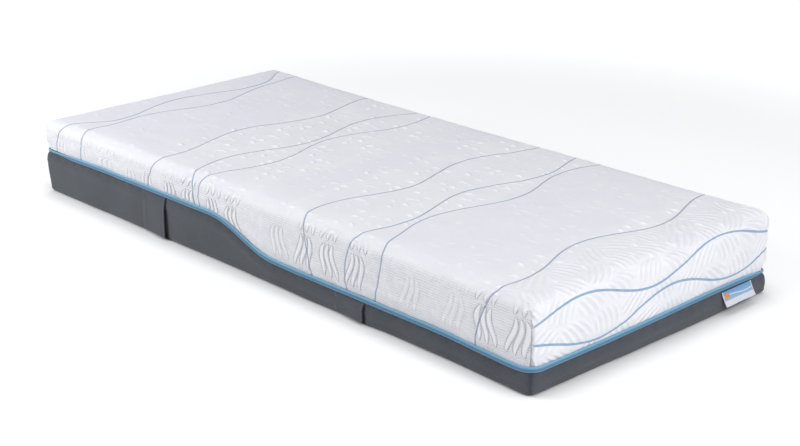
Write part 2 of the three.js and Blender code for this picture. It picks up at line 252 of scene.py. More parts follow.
def make_object(name, surface, *materials):
    """A mesh object from a surface, with its marks and its rest place kept for the materials."""
    mesh = bpy.data.meshes.new(name)
    mesh.from_pydata(surface.points.tolist(), [], surface.quads.tolist())
    mesh.shade_smooth()
    rest = mesh.attributes.new("rest_xyz", "FLOAT_VECTOR", "POINT")
    rest.data.foreach_set("vector", surface.points.astype(np.float32).ravel())
    for mark, values in sorted(surface.marks.items()):
        if mark == "paint":  # not for the materials: it says which of them a face takes
            continue
        attribute = mesh.attributes.new(mark, "FLOAT", "POINT")
        attribute.data.foreach_set("value", values.astype(np.float32))
    if "paint" in surface.marks:
        paint = np.round(surface.marks["paint"][surface.quads[:, 0]]).astype(int).tolist()
        mesh.polygons.foreach_set("material_index", paint)
    for material in materials:
        mesh.materials.append(material)
    if surface.shading is not None:
        mesh.normals_split_custom_set_from_vertices(surface.shading.tolist())
    piece = bpy.data.objects.new(name, mesh)
    bpy.context.scene.collection.objects.link(piece)
    return piece


def dressed(name, surface, materials, nodes):
    """A piece with its materials, standing for the CAD nodes, which it hides."""
    piece = make_object(name, surface, *materials)
    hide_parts(*nodes)
    return piece


HALVES = {  # its section, the body of that section and of the cover there, the bend, and the way it faces
    "head_half": ("back", "back_section", "cover_back", HIP_X, -1),
    "foot_half": ("legs", "leg_section", "cover_legs", KNEE_X, 1),
}


def dress_half(layer, half, surface, materials):
    """One half of a layer. It stands for the nodes of its section and the seat."""
    section, body, cover_body, bend_x, way = HALVES[half]
    nodes = [name for name in layer_nodes(layer) if f"_{section}" in name or "_seat" in name]
    piece = dressed(f"{layer}_{half}", surface, materials, nodes)
    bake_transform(piece)


def two_halves(layer, surface, materials):
    """A full-length layer as two pieces that meet at x 0: a head half and a foot half."""
    foot_side = surface.middles()[:, 0] > 0
    for half, kept in (("head_half", ~foot_side), ("foot_half", foot_side)):
        dress_half(layer, half, surface.part(kept), materials)


# ---------------------------------------------------------------- material graph helper

def tone(red, green, blue):
    """A colour given as it looks on screen, 0 to 255, as linear light."""
    def linear(value):
        share = value / 255
        return share / 12.92 if share <= 0.04045 else ((share + 0.055) / 1.055) ** 2.4
    return (linear(red), linear(green), linear(blue), 1)


class Wire:
    """A number that flows through a material, so that its formulas can be written plainly."""

    def __init__(self, graph, socket):
        self.graph = graph
        self.socket = socket

    def __add__(self, other):
        return self.graph.math("ADD", self, other)

    def __sub__(self, other):
        return self.graph.math("SUBTRACT", self, other)

    def __rsub__(self, other):
        return self.graph.math("SUBTRACT", other, self)

    def __mul__(self, other):
        return self.graph.math("MULTIPLY", self, other)

    def __truediv__(self, other):
        return self.graph.math("DIVIDE", self, other)

    __radd__ = __add__
    __rmul__ = __mul__


def either(kind, on_arrays):
    """A function that works both on arrays, for the mesh, and on wires, for the material."""
    def apply(*values):
        wires = [value for value in values if isinstance(value, Wire)]
        return wires[0].graph.math(kind, *values) if wires else on_arrays(*values)
    return apply


sine = either("SINE", np.sin)
cosine = either("COSINE", np.cos)
whole = either("ROUND", np.round)
size = either("ABSOLUTE", np.abs)
root = either("SQRT", np.sqrt)
least = either("MINIMUM", np.minimum)
most = either("MAXIMUM", np.maximum)
remainder = either("FLOORED_MODULO", np.mod)
above = either("GREATER_THAN", np.greater)


def ramp(value, start, end):
    """0 up to start and 1 from end on, smoothly, for arrays and for wires. End may be the lower one."""
    return value.graph.remap(value, start, end) if isinstance(value, Wire) else ease(value, start, end)


def within(value, low, high, edge):
    """1 between low and high and 0 outside, with soft edges of the given width inside them."""
    return ramp(value, low, low + edge) * ramp(value, high, high - edge)


class Graph:
    """Wires up one procedural material. Values can be numbers, colours or other nodes' outputs."""

    def __init__(self, name, roughness, metallic=0.0, sheen=0.0):
        self.material = bpy.data.materials.new(name)
        self.material.use_nodes = True
        self.nodes = self.material.node_tree.nodes
        self.links = self.material.node_tree.links
        self.surface = self.nodes["Principled BSDF"]
        self.surface.inputs["Metallic"].default_value = metallic
        self.surface.inputs["Sheen Weight"].default_value = sheen
        self.surface.inputs["Sheen Roughness"].default_value = 0.6
        self.surface.inputs["Specular IOR Level"].default_value = 0.25
        self.put(self.surface.inputs["Roughness"], roughness)

    def tinge(self, noise, low, high):
        """The middle of a noise's range spread over low..high."""
        return self.remap(noise, 0.3, 0.7, low, high)

    def put(self, socket, value):
        """Fills an input with a number, a colour, a vector or another node's output."""
        if isinstance(value, Wire):
            value = value.socket
        if isinstance(value, bpy.types.NodeSocket):
            self.links.new(value, socket)
        elif isinstance(value, (tuple, list)) and len(socket.default_value) == 3:
            socket.default_value = tuple(value)[:3]
        else:
            socket.default_value = value

    def wired(self, kind, inputs, output=0, **settings):
        """One output of a new node whose settings and inputs, by name or number, are filled in."""
        made = self.nodes.new(kind)
        for key, value in settings.items():
            setattr(made, key, value)
        for name, value in inputs.items():
            self.put(made.inputs[name], value)
        return made.outputs[output]

    def value(self, mark):
        """A value kept at the points of the mesh."""
        return Wire(self, self.wired("ShaderNodeAttribute", {}, "Fac", attribute_name=mark))

    def place(self):
        """Where the point is at rest, so that a texture stays put when the piece moves."""
        return self.wired("ShaderNodeAttribute", {}, "Vector", attribute_name="rest_xyz")

    def math(self, kind, *values):
        return Wire(self, self.wired("ShaderNodeMath", dict(enumerate(values)), operation=kind))

    def remap(self, value, low, high, to_low=0.0, to_high=1.0):
        """Value from low..high onto to_low..to_high, smoothly and held at the ends."""
        inputs = {"Value": value, "From Min": low, "From Max": high, "To Min": to_low, "To Max": to_high}
        made = self.wired("ShaderNodeMapRange", inputs, "Result", interpolation_type="SMOOTHSTEP")
        return Wire(self, made)

    def stretch(self, vector, scale):
        return self.wired("ShaderNodeVectorMath", {0: vector, 1: scale}, operation="MULTIPLY")

    def vector(self, x, y):
        return self.wired("ShaderNodeCombineXYZ", {0: x, 1: y})

    def split(self, vector):
        made = self.wired("ShaderNodeSeparateXYZ", {0: vector}).node
        return [Wire(self, output) for output in made.outputs]

    def noise(self, vector, size, detail=2.0, rough=0.5):
        """Cloudy noise with features of about the given size."""
        inputs = {"Vector": vector, "Scale": 1 / size, "Detail": detail, "Roughness": rough}
        return Wire(self, self.wired("ShaderNodeTexNoise", inputs, "Fac"))

    def cells(self, vector, size):
        """Distance from the middle of the nearest of many small cells."""
        inputs = {"Vector": vector, "Scale": 1 / size}
        return Wire(self, self.wired("ShaderNodeTexVoronoi", inputs, "Distance"))

    def wave(self, value, pitch):
        """Ridges every pitch along a value, from 0 to 1."""
        return sine(value * (2 * math.pi / pitch)) * 0.5 + 0.5

    def mix(self, share, first, second):
        return self.wired("ShaderNodeMix", {0: share, 6: first, 7: second}, 2, data_type="RGBA")

    def shade(self, colour, amount):
        """Colour made lighter or darker: amount 1 leaves it alone."""
        return self.wired("ShaderNodeVectorMath", {0: colour, "Scale": amount}, operation="SCALE")

    def finish(self, colour, height=None, depth=0.001):
        """Sets the colour and, from a height of 0 to 1, a bump of the given depth."""
        self.put(self.surface.inputs["Base Color"], colour)
        if height is not None:
            inputs = {"Strength": 1.0, "Distance": depth, "Height": height}
            self.put(self.surface.inputs["Normal"], self.wired("ShaderNodeBump", inputs, "Normal"))
        return self.material


# ---------------------------------------------------------------- the cover's printed waves

WAVE_PITCH = 0.526  # length of one full swing of a blue line, across the mattress
WAVE_SWING = 0.028  # how far it swings to either side
# a group's three lines as (place along, phase across), and the groups as (shift along, share of a swing)
WAVE_MEMBERS = ((0.224, -0.107), (0.410, -0.300), (0.483, 0.034))
WAVE_GROUPS = ((-1.280, 0.0), (-0.683, 0.5), (0.0, 0.0), (0.635, 0.5))
WAVE_DRIFT = 0.025  # how far the lines lean along the mattress for each metre across it
HEAD_LEAN = 0.040  # how far the lines nearest the head lean towards it at the long sides


def wave_lines():
    """Each blue line as (mean place along the sheet, phase across it)."""
    lines = []
    for group, turn in WAVE_GROUPS:
        for start, phase in WAVE_MEMBERS:
            lines.append((start + group, phase + turn * WAVE_PITCH))
    return [line for line in lines if line[0] > -HALF_X]


WAVES = wave_lines()


def wave_swing(across, phase):
    """How far a blue line swings to either side of its mean place."""
    return WAVE_SWING * np.cos(2 * np.pi * (across - phase) / WAVE_PITCH)


def line_distance(along, across):
    """Distance from the nearest blue line, on the cover laid out flat."""
    gaps = [np.abs(along - start - wave_swing(across, phase)) for start, phase in WAVES]
    return np.min(gaps, axis=0) * 0.96


# ---------------------------------------------------------------- the cover's knitted relief

MOTIF_PITCH = 0.0985
MOTIF_HALF_WIDTH = 0.034
MOTIF_HALF_HEIGHT = 0.046
FIRST_ROW = -HALF_Y - 0.095  # middle of the row of motifs along the near side
FIRST_COLUMN = 0.027
SHIFT_FROM = 0.72  # past here the columns step by half a pitch
LEAF_HALF = 0.25  # widest half-width of a leaf, as a share of the motif's
PUFFS = (  # the small puffs of a motif on the top: middle, and how strong
    ((0.60, 0.50), 1.0),
    ((-0.72, 0.38), 0.6),
    ((0.10, -0.42), 0.8),
    ((-1.05, -0.66), 0.45),
)
PUFF_HALF_LENGTH = 0.0125
PUFF_HALF_WIDTH = 0.0075
FAN_WIDTH = 0.105
FAN_HEIGHT = 0.064
FAN_LEAN = 0.62  # radians that the strokes of a fan lean over
STROKE_PITCH = 0.0175
FANS_FROM = 0.86  # the fans of the foot end begin here, on the top


def motif_strength(along):
    """How strongly the motifs stand out along the mattress: bands of them between smooth zones."""
    dense = ease(along, -0.50, -0.42) - ease(along, -0.04, 0.01)
    dense += ease(along, 0.10, 0.14) - ease(along, 0.45, 0.50)
    dense += ease(along, 0.80, 0.86)
    return np.clip(dense + 0.38, 0, 1)


def motif_cell(along, across):
    """Which motif a place on the cover belongs to, and where it lies in it, -1 to 1 each way."""
    shift = 0.5 * above(along, SHIFT_FROM)
    column = (along - FIRST_COLUMN) / MOTIF_PITCH + shift
    row = (across - FIRST_ROW) / MOTIF_PITCH
    i, j = whole(column), whole(row)
    mirror = 1 - 2 * remainder(i + j, 2)
    u = (column - i) * (MOTIF_PITCH / MOTIF_HALF_WIDTH) * mirror
    v = (row - j) * (MOTIF_PITCH / MOTIF_HALF_HEIGHT)
    return i - shift, j, mirror, u, v


def sheaf(u, v):
    """A sheaf of three tall leaves: their raised shapes, and the grooves round them."""
    leaf_half = root(most(1 - v * v, 0.002)) * LEAF_HALF
    nearest = 9.0
    for turn in (-1, 0, 1):
        middle = turn * (0.60 - 0.16 * v) + 0.24 * sine(2.4 * v + 0.5)
        nearest = least(size(u - middle) / leaf_half, nearest)
    leaves = ramp(nearest, 1.05, 0.5)
    grooves = ramp(size(nearest - 1.12), 0.34, 0.0) * ramp(size(v), 1.04, 0.95)
    return leaves, grooves


def puffs(i, j, mirror, u, v):
    """The small slanting puffs of a motif on the top, none of them quite in line."""
    raised = 0
    for (middle_u, middle_v), strong in PUFFS:
        stray = 0.35 * sine(4.1 * i + 2.7 * j + 9 * middle_u)
        along = (u - middle_u - stray) * mirror * MOTIF_HALF_WIDTH
        across = (v - middle_v - 0.6 * stray) * MOTIF_HALF_HEIGHT
        p, q = along / PUFF_HALF_LENGTH, (across + along * stray) / PUFF_HALF_WIDTH
        raised = raised + ramp(root(p * p + q * q), 1.3, 0.3) * strong
    return raised


def fans(along, up):
    """Slender strokes in fans that lean in turn to either side, and where each fan stands out."""
    row = whole(up / FAN_HEIGHT)
    column = along / FAN_WIDTH + 0.5 * remainder(row, 2)
    i = whole(column)
    u = (column - i) * 2
    v = (up / FAN_HEIGHT - row) * 2
    mirror = 1 - 2 * above(remainder(2 * i + 3 * row, 5), 2.5)
    p = u * mirror * (FAN_WIDTH / 2)
    q = v * (FAN_HEIGHT / 2)
    lean = FAN_LEAN + 0.3 * sine(2.3 * i + 1.7 * row)
    place = p * cosine(lean) + q * sine(lean) + 6 * q * q
    strokes = sine(place * (2 * math.pi / STROKE_PITCH))
    return strokes, ramp(u * u + v * v, 1.35, 0.45)


def motif_relief(along, across, on_top):
    """Relief of the motifs over the top and long sides, and how strong each motif is."""
    i, j, mirror, u, v = motif_cell(along, across)
    leaves, grooves = sheaf(u, v)
    strength = motif_strength(i * MOTIF_PITCH + FIRST_COLUMN - 0.5 * wave_swing(across, 0.0))
    chance = cell_value(i, j, 3)
    strength = strength * np.where(chance < 0.15 + 0.3 * (1 - strength), 0.35, 1.0)
    raised = np.where(on_top, puffs(i, j, mirror, u, v), 0.6 * leaves - 0.6 * grooves)
    return raised * strength, strength


# ---------------------------------------------------------------- the soft outline of the mattress

PLAN_RADIUS = 0.035
TOP_ROLL = 0.036
BOTTOM_ROLL = 0.018
COVER_POWER = 5.5  # squarer than a circle where the corner is sewn
BORDER_POWER = 9.0
BAND_POWER = 2.1  # rounder where the band pulls the corner in
BOTTOM_POWER = 5.0  # the bottom edge rolls over more tightly than the top one
FOOT_FLARE = 0.012  # how far each end stands out past its nominal place at the corners
HEAD_FLARE = 0.004
FOOT_BOW = 0.006  # and how much further in its middle
HEAD_BOW = 0.002
SIDE_BOW = 0.002
NEAR_FLARE = 0.009  # how far the near side stands out towards its corners
FAR_FLARE = 0.002
CROWN = 0.004
HEAD_LOFT = 0.008  # the far corner of the head end stands a little higher
BULGE = 0.004  # how far the cloth stands out above and below the band


def bow(x, y):
    """How far the four sides stand out past their straight lines, in x and in y."""
    middle = 1 - (y / HALF_Y) ** 2
    end = np.where(x > 0, FOOT_FLARE + FOOT_BOW * middle, HEAD_FLARE + HEAD_BOW * middle)
    flare = np.where(y < 0, NEAR_FLARE, FAR_FLARE) * ease(np.abs(x), 0.66, HALF_X - 0.03)
    side = SIDE_BOW * (1 - (x / HALF_X) ** 4) + flare
    out_x = np.sign(x) * end * ease(np.abs(x), HALF_X - 0.28, HALF_X)
    out_y = np.sign(y) * side * ease(np.abs(y), HALF_Y - 0.2, HALF_Y)
    return out_x, out_y


def soft_outline(points, gap, corner_power, corner_reach):
    """Rolls a sharp box into the stuffed shape. gap is the height between the point and the zip.

    The corner is round at the band and reaches its own squareness corner_reach away from it.
    """
    from_zip = np.clip(gap / 0.045, 0, 1)
    inner_high = np.array([HALF_X - PLAN_RADIUS, HALF_Y - PLAN_RADIUS, TOP - TOP_ROLL])
    inner_low = np.array([-inner_high[0], -inner_high[1], BOTTOM_ROLL])
    core = np.clip(points, inner_low, inner_high)
    roll = np.where(points[:, 2] > BOTTOM_ROLL, TOP_ROLL, BOTTOM_ROLL)
    plan_radius = np.full(len(points), PLAN_RADIUS)
    radii = np.stack([plan_radius, plan_radius, roll], axis=1)
    out = (points - core) / radii
    flat = np.abs(out[:, :2])
    power = BAND_POWER + (corner_power - BAND_POWER) * ease(gap, 0, corner_reach)
    plan = (flat[:, 0] ** power + flat[:, 1] ** power) ** (1 / power)
    upright = np.where(out[:, 2] < 0, BOTTOM_POWER, 2.0)
    length = (plan ** upright + np.abs(out[:, 2]) ** upright) ** (1 / upright)
    out = out / np.maximum(length, 1e-9)[:, None]
    soft = core + out * radii
    plan_length = np.linalg.norm(out[:, :2], axis=1)
    direction = out[:, :2] / np.maximum(plan_length, 1e-9)[:, None]
    waist = BULGE * (ease(from_zip, 0.0, 0.7) - 0.25) * (1 - 0.4 * ease(from_zip, 0.7, 1.0))
    soft[:, :2] += direction * (waist * (plan_length > 1e-6))[:, None]
    out_x, out_y = bow(soft[:, 0], soft[:, 1])
    upright_share = np.where(soft[:, 0] < 0, 0.35 + 0.65 * ease(soft[:, 2], 0, 0.09), 1.0)
    soft[:, 0] += out_x * upright_share
    soft[:, 1] += out_y * upright_share
    crown = CROWN * (1 - (soft[:, 0] / HALF_X) ** 4) * (1 - (soft[:, 1] / HALF_Y) ** 4)
    crown = crown + HEAD_LOFT * ease(-soft[:, 0], 0.3, HALF_X) * ease(soft[:, 1], -0.3, HALF_Y)
    soft[:, 2] += np.clip(crown, 0, 1) * ease(soft[:, 2], TOP - TOP_ROLL, TOP)
    return soft


def cover_box(share):
    """Sharp-edged place of a point of the top cover, given as shares of length, width and height."""
    x = (share[:, 0] * 2 - 1) * HALF_X
    y = (share[:, 1] * 2 - 1) * HALF_Y
    edge = zip_height(x, y) + SLOT_HALF
    return np.stack([x, y, edge + share[:, 2] * (TOP - edge)], axis=1)


def cover_form(share):
    """The same point on the stuffed shape."""
    box = cover_box(share)
    edge = zip_height(box[:, 0], box[:, 1]) + SLOT_HALF
    return soft_outline(box, box[:, 2] - edge, COVER_POWER, 0.04)


def sheet_places(share):
    """Where a point lies on the cover laid out flat: along the mattress and across it."""
    box = cover_box(share)
    drop = TOP - box[:, 2]
    on_end = (share[:, 0] < 1e-6) | (share[:, 0] > 1 - 1e-6)
    on_side = ((share[:, 1] < 1e-6) | (share[:, 1] > 1 - 1e-6)) & ~on_end
    along = box[:, 0] + np.sign(box[:, 0]) * drop * on_end
    across = box[:, 1] + np.sign(box[:, 1]) * drop * on_side
    fade = 1 - ease(np.abs(across), HALF_Y - 0.03, HALF_Y + 0.1)
    drift = WAVE_DRIFT * across * np.where(on_end, 1, fade)
    drift += HEAD_LEAN * ease(-box[:, 0], 0.62, 0.78) * ease(np.abs(box[:, 1]), 0.30, 0.43)
    return along + drift, across, on_end, on_side


# ---------------------------------------------------------------- cloth simulation

CLOTH_SETTINGS = {
    "quality": 5,
    "mass": 0.3,
    "tension_stiffness": 12,
    "compression_stiffness": 12,
    "shear_stiffness": 6,
    "bending_stiffness": 0.6,
    "use_pressure": True,
    "uniform_pressure_force": 4.0,
    "vertex_group_mass": "pins",
}
CLOTH_FRAMES = 18


def blow_out(name, surface, pins, cap):
    """Inflates cloth held by its pins. Returns how far each point moves, always less than the cap."""
    cloth = make_object(name, surface)
    group = cloth.vertex_groups.new(name="pins")
    for index, weight in enumerate(pins):
        group.add([index], float(weight), "REPLACE")
    solver = cloth.modifiers.new("cloth", "CLOTH")
    settings = solver.settings
    for setting, value in CLOTH_SETTINGS.items():
        setattr(settings, setting, value)
    settings.effector_weights.gravity = 0
    solver.point_cache.frame_start = 1
    solver.point_cache.frame_end = CLOTH_FRAMES
    scene = bpy.context.scene
    for number in range(1, CLOTH_FRAMES + 1):
        scene.frame_set(number)
    solved = cloth.evaluated_get(bpy.context.evaluated_depsgraph_get()).data
    points = np.zeros(len(surface.points) * 3)
    solved.vertices.foreach_get("co", points)
    moved = points.reshape(-1, 3) - surface.points
    scene.frame_set(1)
    mesh = cloth.data
    bpy.data.objects.remove(cloth)
    bpy.data.meshes.remove(mesh)
    length = np.linalg.norm(moved, axis=1, keepdims=True)
    return moved * cap / (cap + length)


def spread(coarse_steps, counts, values, share):
    """Values known on a coarse lattice, worked out at any shares of the same box."""
    grid = np.zeros(tuple(np.array(counts) + 1) + (values.shape[1],))
    grid[coarse_steps[:, 0], coarse_steps[:, 1], coarse_steps[:, 2]] = values
    place = share * np.array(counts)
    low = np.minimum(np.floor(place + 1e-9).astype(int), np.array(counts) - 1)
    part = place - low
    total = np.zeros((len(share), values.shape[1]))
    for corner in np.ndindex(2, 2, 2):
        weight = np.prod(np.where(corner, part, 1 - part), axis=1)
        index = low + np.array(corner)
        total += weight[:, None] * grid[index[:, 0], index[:, 1], index[:, 2]]
    return total


# ---------------------------------------------------------------- top cover

COVER_CELLS = (128, 56, 8)
COVER_FINER = 4  # the relief's mesh is this many times finer than the simulated cloth
SEAM_GROOVE = 0.0022
LINE_GROOVE = 0.0010
SWELL_CAP = 0.007
END_RELIEF = 0.0018  # depth of the knitted relief at the ends, on the long sides and on the top
SIDE_RELIEF = 0.0024
TOP_RELIEF = 0.0019
GATHER_PITCH = 0.031  # the small gathers where the cover is sewn to the zip


def corner_gap(share):
    """Distance along the cloth from the nearest upright corner seam. Points on the top are far from all."""
    gap_x = HALF_X * 2 * np.minimum(share[:, 0], 1 - share[:, 0])
    gap_y = HALF_Y * 2 * np.minimum(share[:, 1], 1 - share[:, 1])
    from_top = (1 - share[:, 2]) * 0.13
    return np.hypot(np.maximum(gap_x, gap_y), np.clip(0.045 - from_top, 0, 1) * 1.2)


def solved_swelling():
    """The cover's coarse lattice, and how far the cloth solver swells it between the stitched lines."""
    steps, quads = lattice(COVER_CELLS, OPEN_BELOW)
    share = steps / np.array(COVER_CELLS)
    coarse = Surface(cover_form(share), quads)
    along, across, _, _ = sheet_places(share)
    stitched = 0.75 * hill(line_distance(along, across), 0.012)
    dimple = hill(lumps(along, across, 0.07, 4) - 0.75, 0.25) * 0.35
    pins = np.maximum.reduce([
        stitched, dimple,
        hill(corner_gap(share), 0.012),
        np.where(share[:, 2] < 0.5 / COVER_CELLS[2], 1.0, 0.0),
    ])
    return steps, blow_out("cover_cloth", coarse, np.clip(pins, 0, 1), SWELL_CAP)


SWOLLEN_STEPS, SWOLLEN = solved_swelling()


def swollen(surface, share, rounds):
    """The surface moved along with the swollen cover."""
    swelling = spread(SWOLLEN_STEPS, COVER_CELLS, SWOLLEN, share)
    surface.points += surface.smoothed(swelling, rounds)
    return surface


def cover_surface():
    """The whole quilted top cover with its swelling, seams, lines and motifs."""
    cells = tuple(COVER_FINER * count for count in COVER_CELLS)
    steps, quads = lattice(cells, OPEN_BELOW)
    share = steps / np.array(cells)
    surface = swollen(Surface(cover_form(share), quads), share, 10)
    along, across, on_end, on_side = sheet_places(share)
    box = cover_box(share)
    on_top = ~(on_end | on_side)
    motifs, strength = motif_relief(along, across, on_top)
    height_unrolled = np.where(on_end, box[:, 2], TOP + HALF_X - box[:, 0])
    fan_up = height_unrolled - 0.5 * wave_swing(across, -0.037)
    strokes, fan_share = fans(across, fan_up)
    fans_on_top = 0.6 * on_top * ease(box[:, 0], FANS_FROM, FANS_FROM + 0.05)
    fan_share = fan_share * np.where(on_end, 1.0, fans_on_top)
    relief = motifs * (1 - on_end) * (1 - 0.7 * fan_share) + (0.6 * strokes + 0.5) * fan_share
    line_gap = line_distance(along, across)
    relief = relief * (1 - 0.85 * hill(line_gap, 0.007))
    seam = hill(corner_gap(share), 0.005)
    above_zip = box[:, 2] - zip_height(box[:, 0], box[:, 1]) - SLOT_HALF
    relief = relief * ease(above_zip, 0.002, 0.012) * (1 - seam)
    depth = np.where(on_end, END_RELIEF, np.where(on_side, SIDE_RELIEF, TOP_RELIEF))
    height = relief * depth - LINE_GROOVE * hill(line_gap, 0.004) - SEAM_GROOVE * seam
    gathers = np.sin(2 * np.pi * (along + across) / GATHER_PITCH + 2 * lumps(along, across, 0.08, 8))
    height += 0.0002 * gathers * hill(above_zip, 0.022)
    height += 0.0008 * lumps(along, across, 0.045, 6)
    surface.points += surface.normals() * height[:, None]
    surface.marks = {
        "along": along,
        "across": across,
        "fan_up": fan_up,
        "fan_share": fan_share,
        "seam": seam,
        "on_end": on_end.astype(float),
        "on_side": on_side.astype(float),
        "motif": np.where(on_end, 0, strength * (1 - seam) * ease(above_zip, 0.002, 0.010)),
        "sheaf_share": on_side * ease(TOP - box[:, 2], 0.014, 0.036),
        "smooth_zone": (1 - motif_strength(along)) * on_top,
    }
    return surface


def printed_lines(graph, along, across, on_end, place):
    """Where the blue jacquard lines run, 0 to 1."""
    nearest = 9.0
    for start, phase in WAVES:
        line = cosine((across - phase) * (2 * math.pi / WAVE_PITCH)) * WAVE_SWING + start
        nearest = least(size(along - line), nearest)
    fringe = graph.noise(place, 0.004) * 0.0012 - 0.0006
    return ramp(nearest + fringe - on_end * 0.0006, 0.0032, 0.0018)


RIB_PITCH = 0.0066
STITCH_SIZE = 0.0021


def knit_white():
    """White double knit with blue jacquard lines, fine ribs, raised leaves and tiny stitches, with painted
    highlights on its raised parts and painted shade in its grooves and seams.
    """
    graph = Graph("knit_white", roughness=0.85, sheen=0.15)
    along, across, seam = graph.value("along"), graph.value("across"), graph.value("seam")
    on_end, on_side, motif = graph.value("on_end"), graph.value("on_side"), graph.value("motif")
    sheaf_share, fan_share = graph.value("sheaf_share"), graph.value("fan_share")
    sheet, place = graph.vector(along, across), graph.place()
    line = printed_lines(graph, along, across, on_end, place) * (1 - seam)
    i, j, mirror, u, v = motif_cell(along, across)
    leaves, grooves = sheaf(u, v)
    leaves = leaves * motif * sheaf_share
    grooves = grooves * motif * sheaf_share
    on_top = most(1 - on_side - on_end, 0)
    dots = puffs(i, j, mirror, u, v) * motif * most(on_top, on_side - sheaf_share) * (1 - fan_share)
    strokes, _ = fans(across, graph.value("fan_up"))
    raised = most(strokes, 0) * fan_share
    sunk = most(0 - strokes, 0) * fan_share
    wander = graph.noise(sheet, 0.04) * 0.003
    ribs = graph.wave(across + wander, RIB_PITCH) * (1 - on_end) * (1 - leaves)
    patchy = graph.remap(graph.noise(sheet, 0.02), 0.3, 0.6, 0.45, 1.0)
    ribs = ribs * patchy * (sheaf_share * 0.85 + 0.15)
    stitches = graph.cells(place, STITCH_SIZE)
    cloudy = graph.noise(place, 0.09, detail=3)
    white = graph.mix(graph.value("smooth_zone"), tone(236, 236, 240), tone(232, 231, 240))
    white = graph.mix(graph.remap(cloudy, 0.35, 0.65, 0.0, 0.5), white, tone(229, 231, 239))
    # painted highlight on the puffs, leaves and fan ridges, partly also their brighter raised yarn
    light = 1.0 + dots * 0.14 + raised * 0.05 + leaves * 0.04
    # painted shade in the motif grooves, the fans' sunk strokes and the seams
    light = light - grooves * 0.16 - sunk * 0.06 - ribs * 0.15 - stitches * 0.05 - seam * 0.25
    blue = graph.mix(on_end, tone(160, 173, 195), tone(142, 170, 199))
    blue = graph.shade(blue, graph.tinge(graph.noise(place, 0.003), 0.9, 1.08))
    colour = graph.mix(line, graph.shade(white, light), blue)
    height = dots * 1.8 + leaves * 0.9 - grooves * 1.4 + (raised - sunk) * 1.0
    height = height + stitches * 0.35 - ribs * 0.7 - line * 0.3
    return graph.finish(colour, height, depth=0.0010)


# ---------------------------------------------------------------- wadding under the cover

WADDING_CELLS = (160, 72, 10)
WADDING_INSET = 0.0042  # its outer face lies this far inside the cover
WADDING_DEPTH = 0.0060  # and its inner face this far where it is stitched down
WADDING_LOFT = 0.0032  # and this much further where it isn't
TUFT_PITCH_ALONG = 0.125
TUFT_PITCH_ACROSS = 0.1125


def wadding_surface():
    """The fibre pad quilted behind the cover: a thick shell with its own tufted inner face."""
    steps, quads = lattice(WADDING_CELLS, OPEN_BELOW)
    share = steps / np.array(WADDING_CELLS)
    form = swollen(Surface(cover_form(share), quads), share, 1)
    out = form.normals()
    along, across, on_end, on_side = sheet_places(share)
    waves = np.sin(np.pi * along / TUFT_PITCH_ALONG) * np.sin(np.pi * across / TUFT_PITCH_ACROSS)
    loft = np.where(on_end | on_side, 0.8, np.abs(waves) ** 0.5)
    depth = WADDING_DEPTH + WADDING_LOFT * loft + 0.0006 * lumps(along, across, 0.02, 2)
    outer = form.points - out * WADDING_INSET
    inner = form.points - out * depth[:, None]
    count = len(outer)
    bottom = share[:, 2] < 1e-6
    rim = bottom[quads] & bottom[np.roll(quads, -1, axis=1)]
    faces, corner = np.nonzero(rim)
    first, second = quads[faces, corner], quads[faces, (corner + 1) % 4]
    hem = np.stack([second, first, first + count, second + count], axis=1)
    points = np.concatenate([outer, inner])
    surface = Surface(points, np.concatenate([quads, quads[:, ::-1] + count, hem]))
    surface.marks = {"tuft": np.concatenate([np.zeros(count), 1 - loft])}
    return surface


def fibre_wadding():
    """Fluffy white fibre with stitched tufts."""
    graph = Graph("fibre_wadding", roughness=0.95, sheen=0.3)
    place = graph.place()
    strands = graph.noise(graph.stretch(place, (1.0, 3.0, 1.0)), 0.006, detail=6, rough=0.7)
    light = graph.tinge(strands, 0.88, 1.0) - graph.value("tuft") * 0.2
    return graph.finish(graph.shade(tone(240, 240, 238), light), strands, depth=0.0015)


# ---------------------------------------------------------------- sweeps round the outline

def outline(offset, corner, step):
    """Once round the mattress, offset outside its sides: place and outward direction in plan."""
    end_x, end_y = HALF_X + offset - corner, HALF_Y + offset - corner
    def straight(start, end):
        count = max(1, round(abs(end - start) / step))
        return np.linspace(start, end, count, endpoint=False)
    def place(x, y, turn):
        x, y = np.broadcast_arrays(x, y)
        return np.stack([x, y, np.full(x.shape, math.cos(turn)), np.full(x.shape, math.sin(turn))], axis=1)
    def arc(centre_x, centre_y, start):
        turn = start + np.linspace(0, np.pi / 2, 10, endpoint=False)
        across, up = np.cos(turn), np.sin(turn)
        return np.stack([centre_x + corner * across, centre_y + corner * up, across, up], axis=1)
    half = np.pi / 2
    walk = np.concatenate([
        place(straight(0, end_x), -HALF_Y - offset, -half), arc(end_x, -end_y, -half),
        place(HALF_X + offset, straight(-end_y, end_y), 0), arc(end_x, end_y, 0),
        place(straight(end_x, 0), HALF_Y + offset, half),
        place(straight(0, -end_x), HALF_Y + offset, half), arc(-end_x, end_y, half),
        place(-HALF_X - offset, straight(end_y, -end_y), np.pi), arc(-end_x, -end_y, np.pi),
        place(straight(-end_x, 0), -HALF_Y - offset, -half),
    ])
    out_x, out_y = bow(walk[:, 0], walk[:, 1])
    walk[:, 0] += out_x
    walk[:, 1] += out_y
    return walk


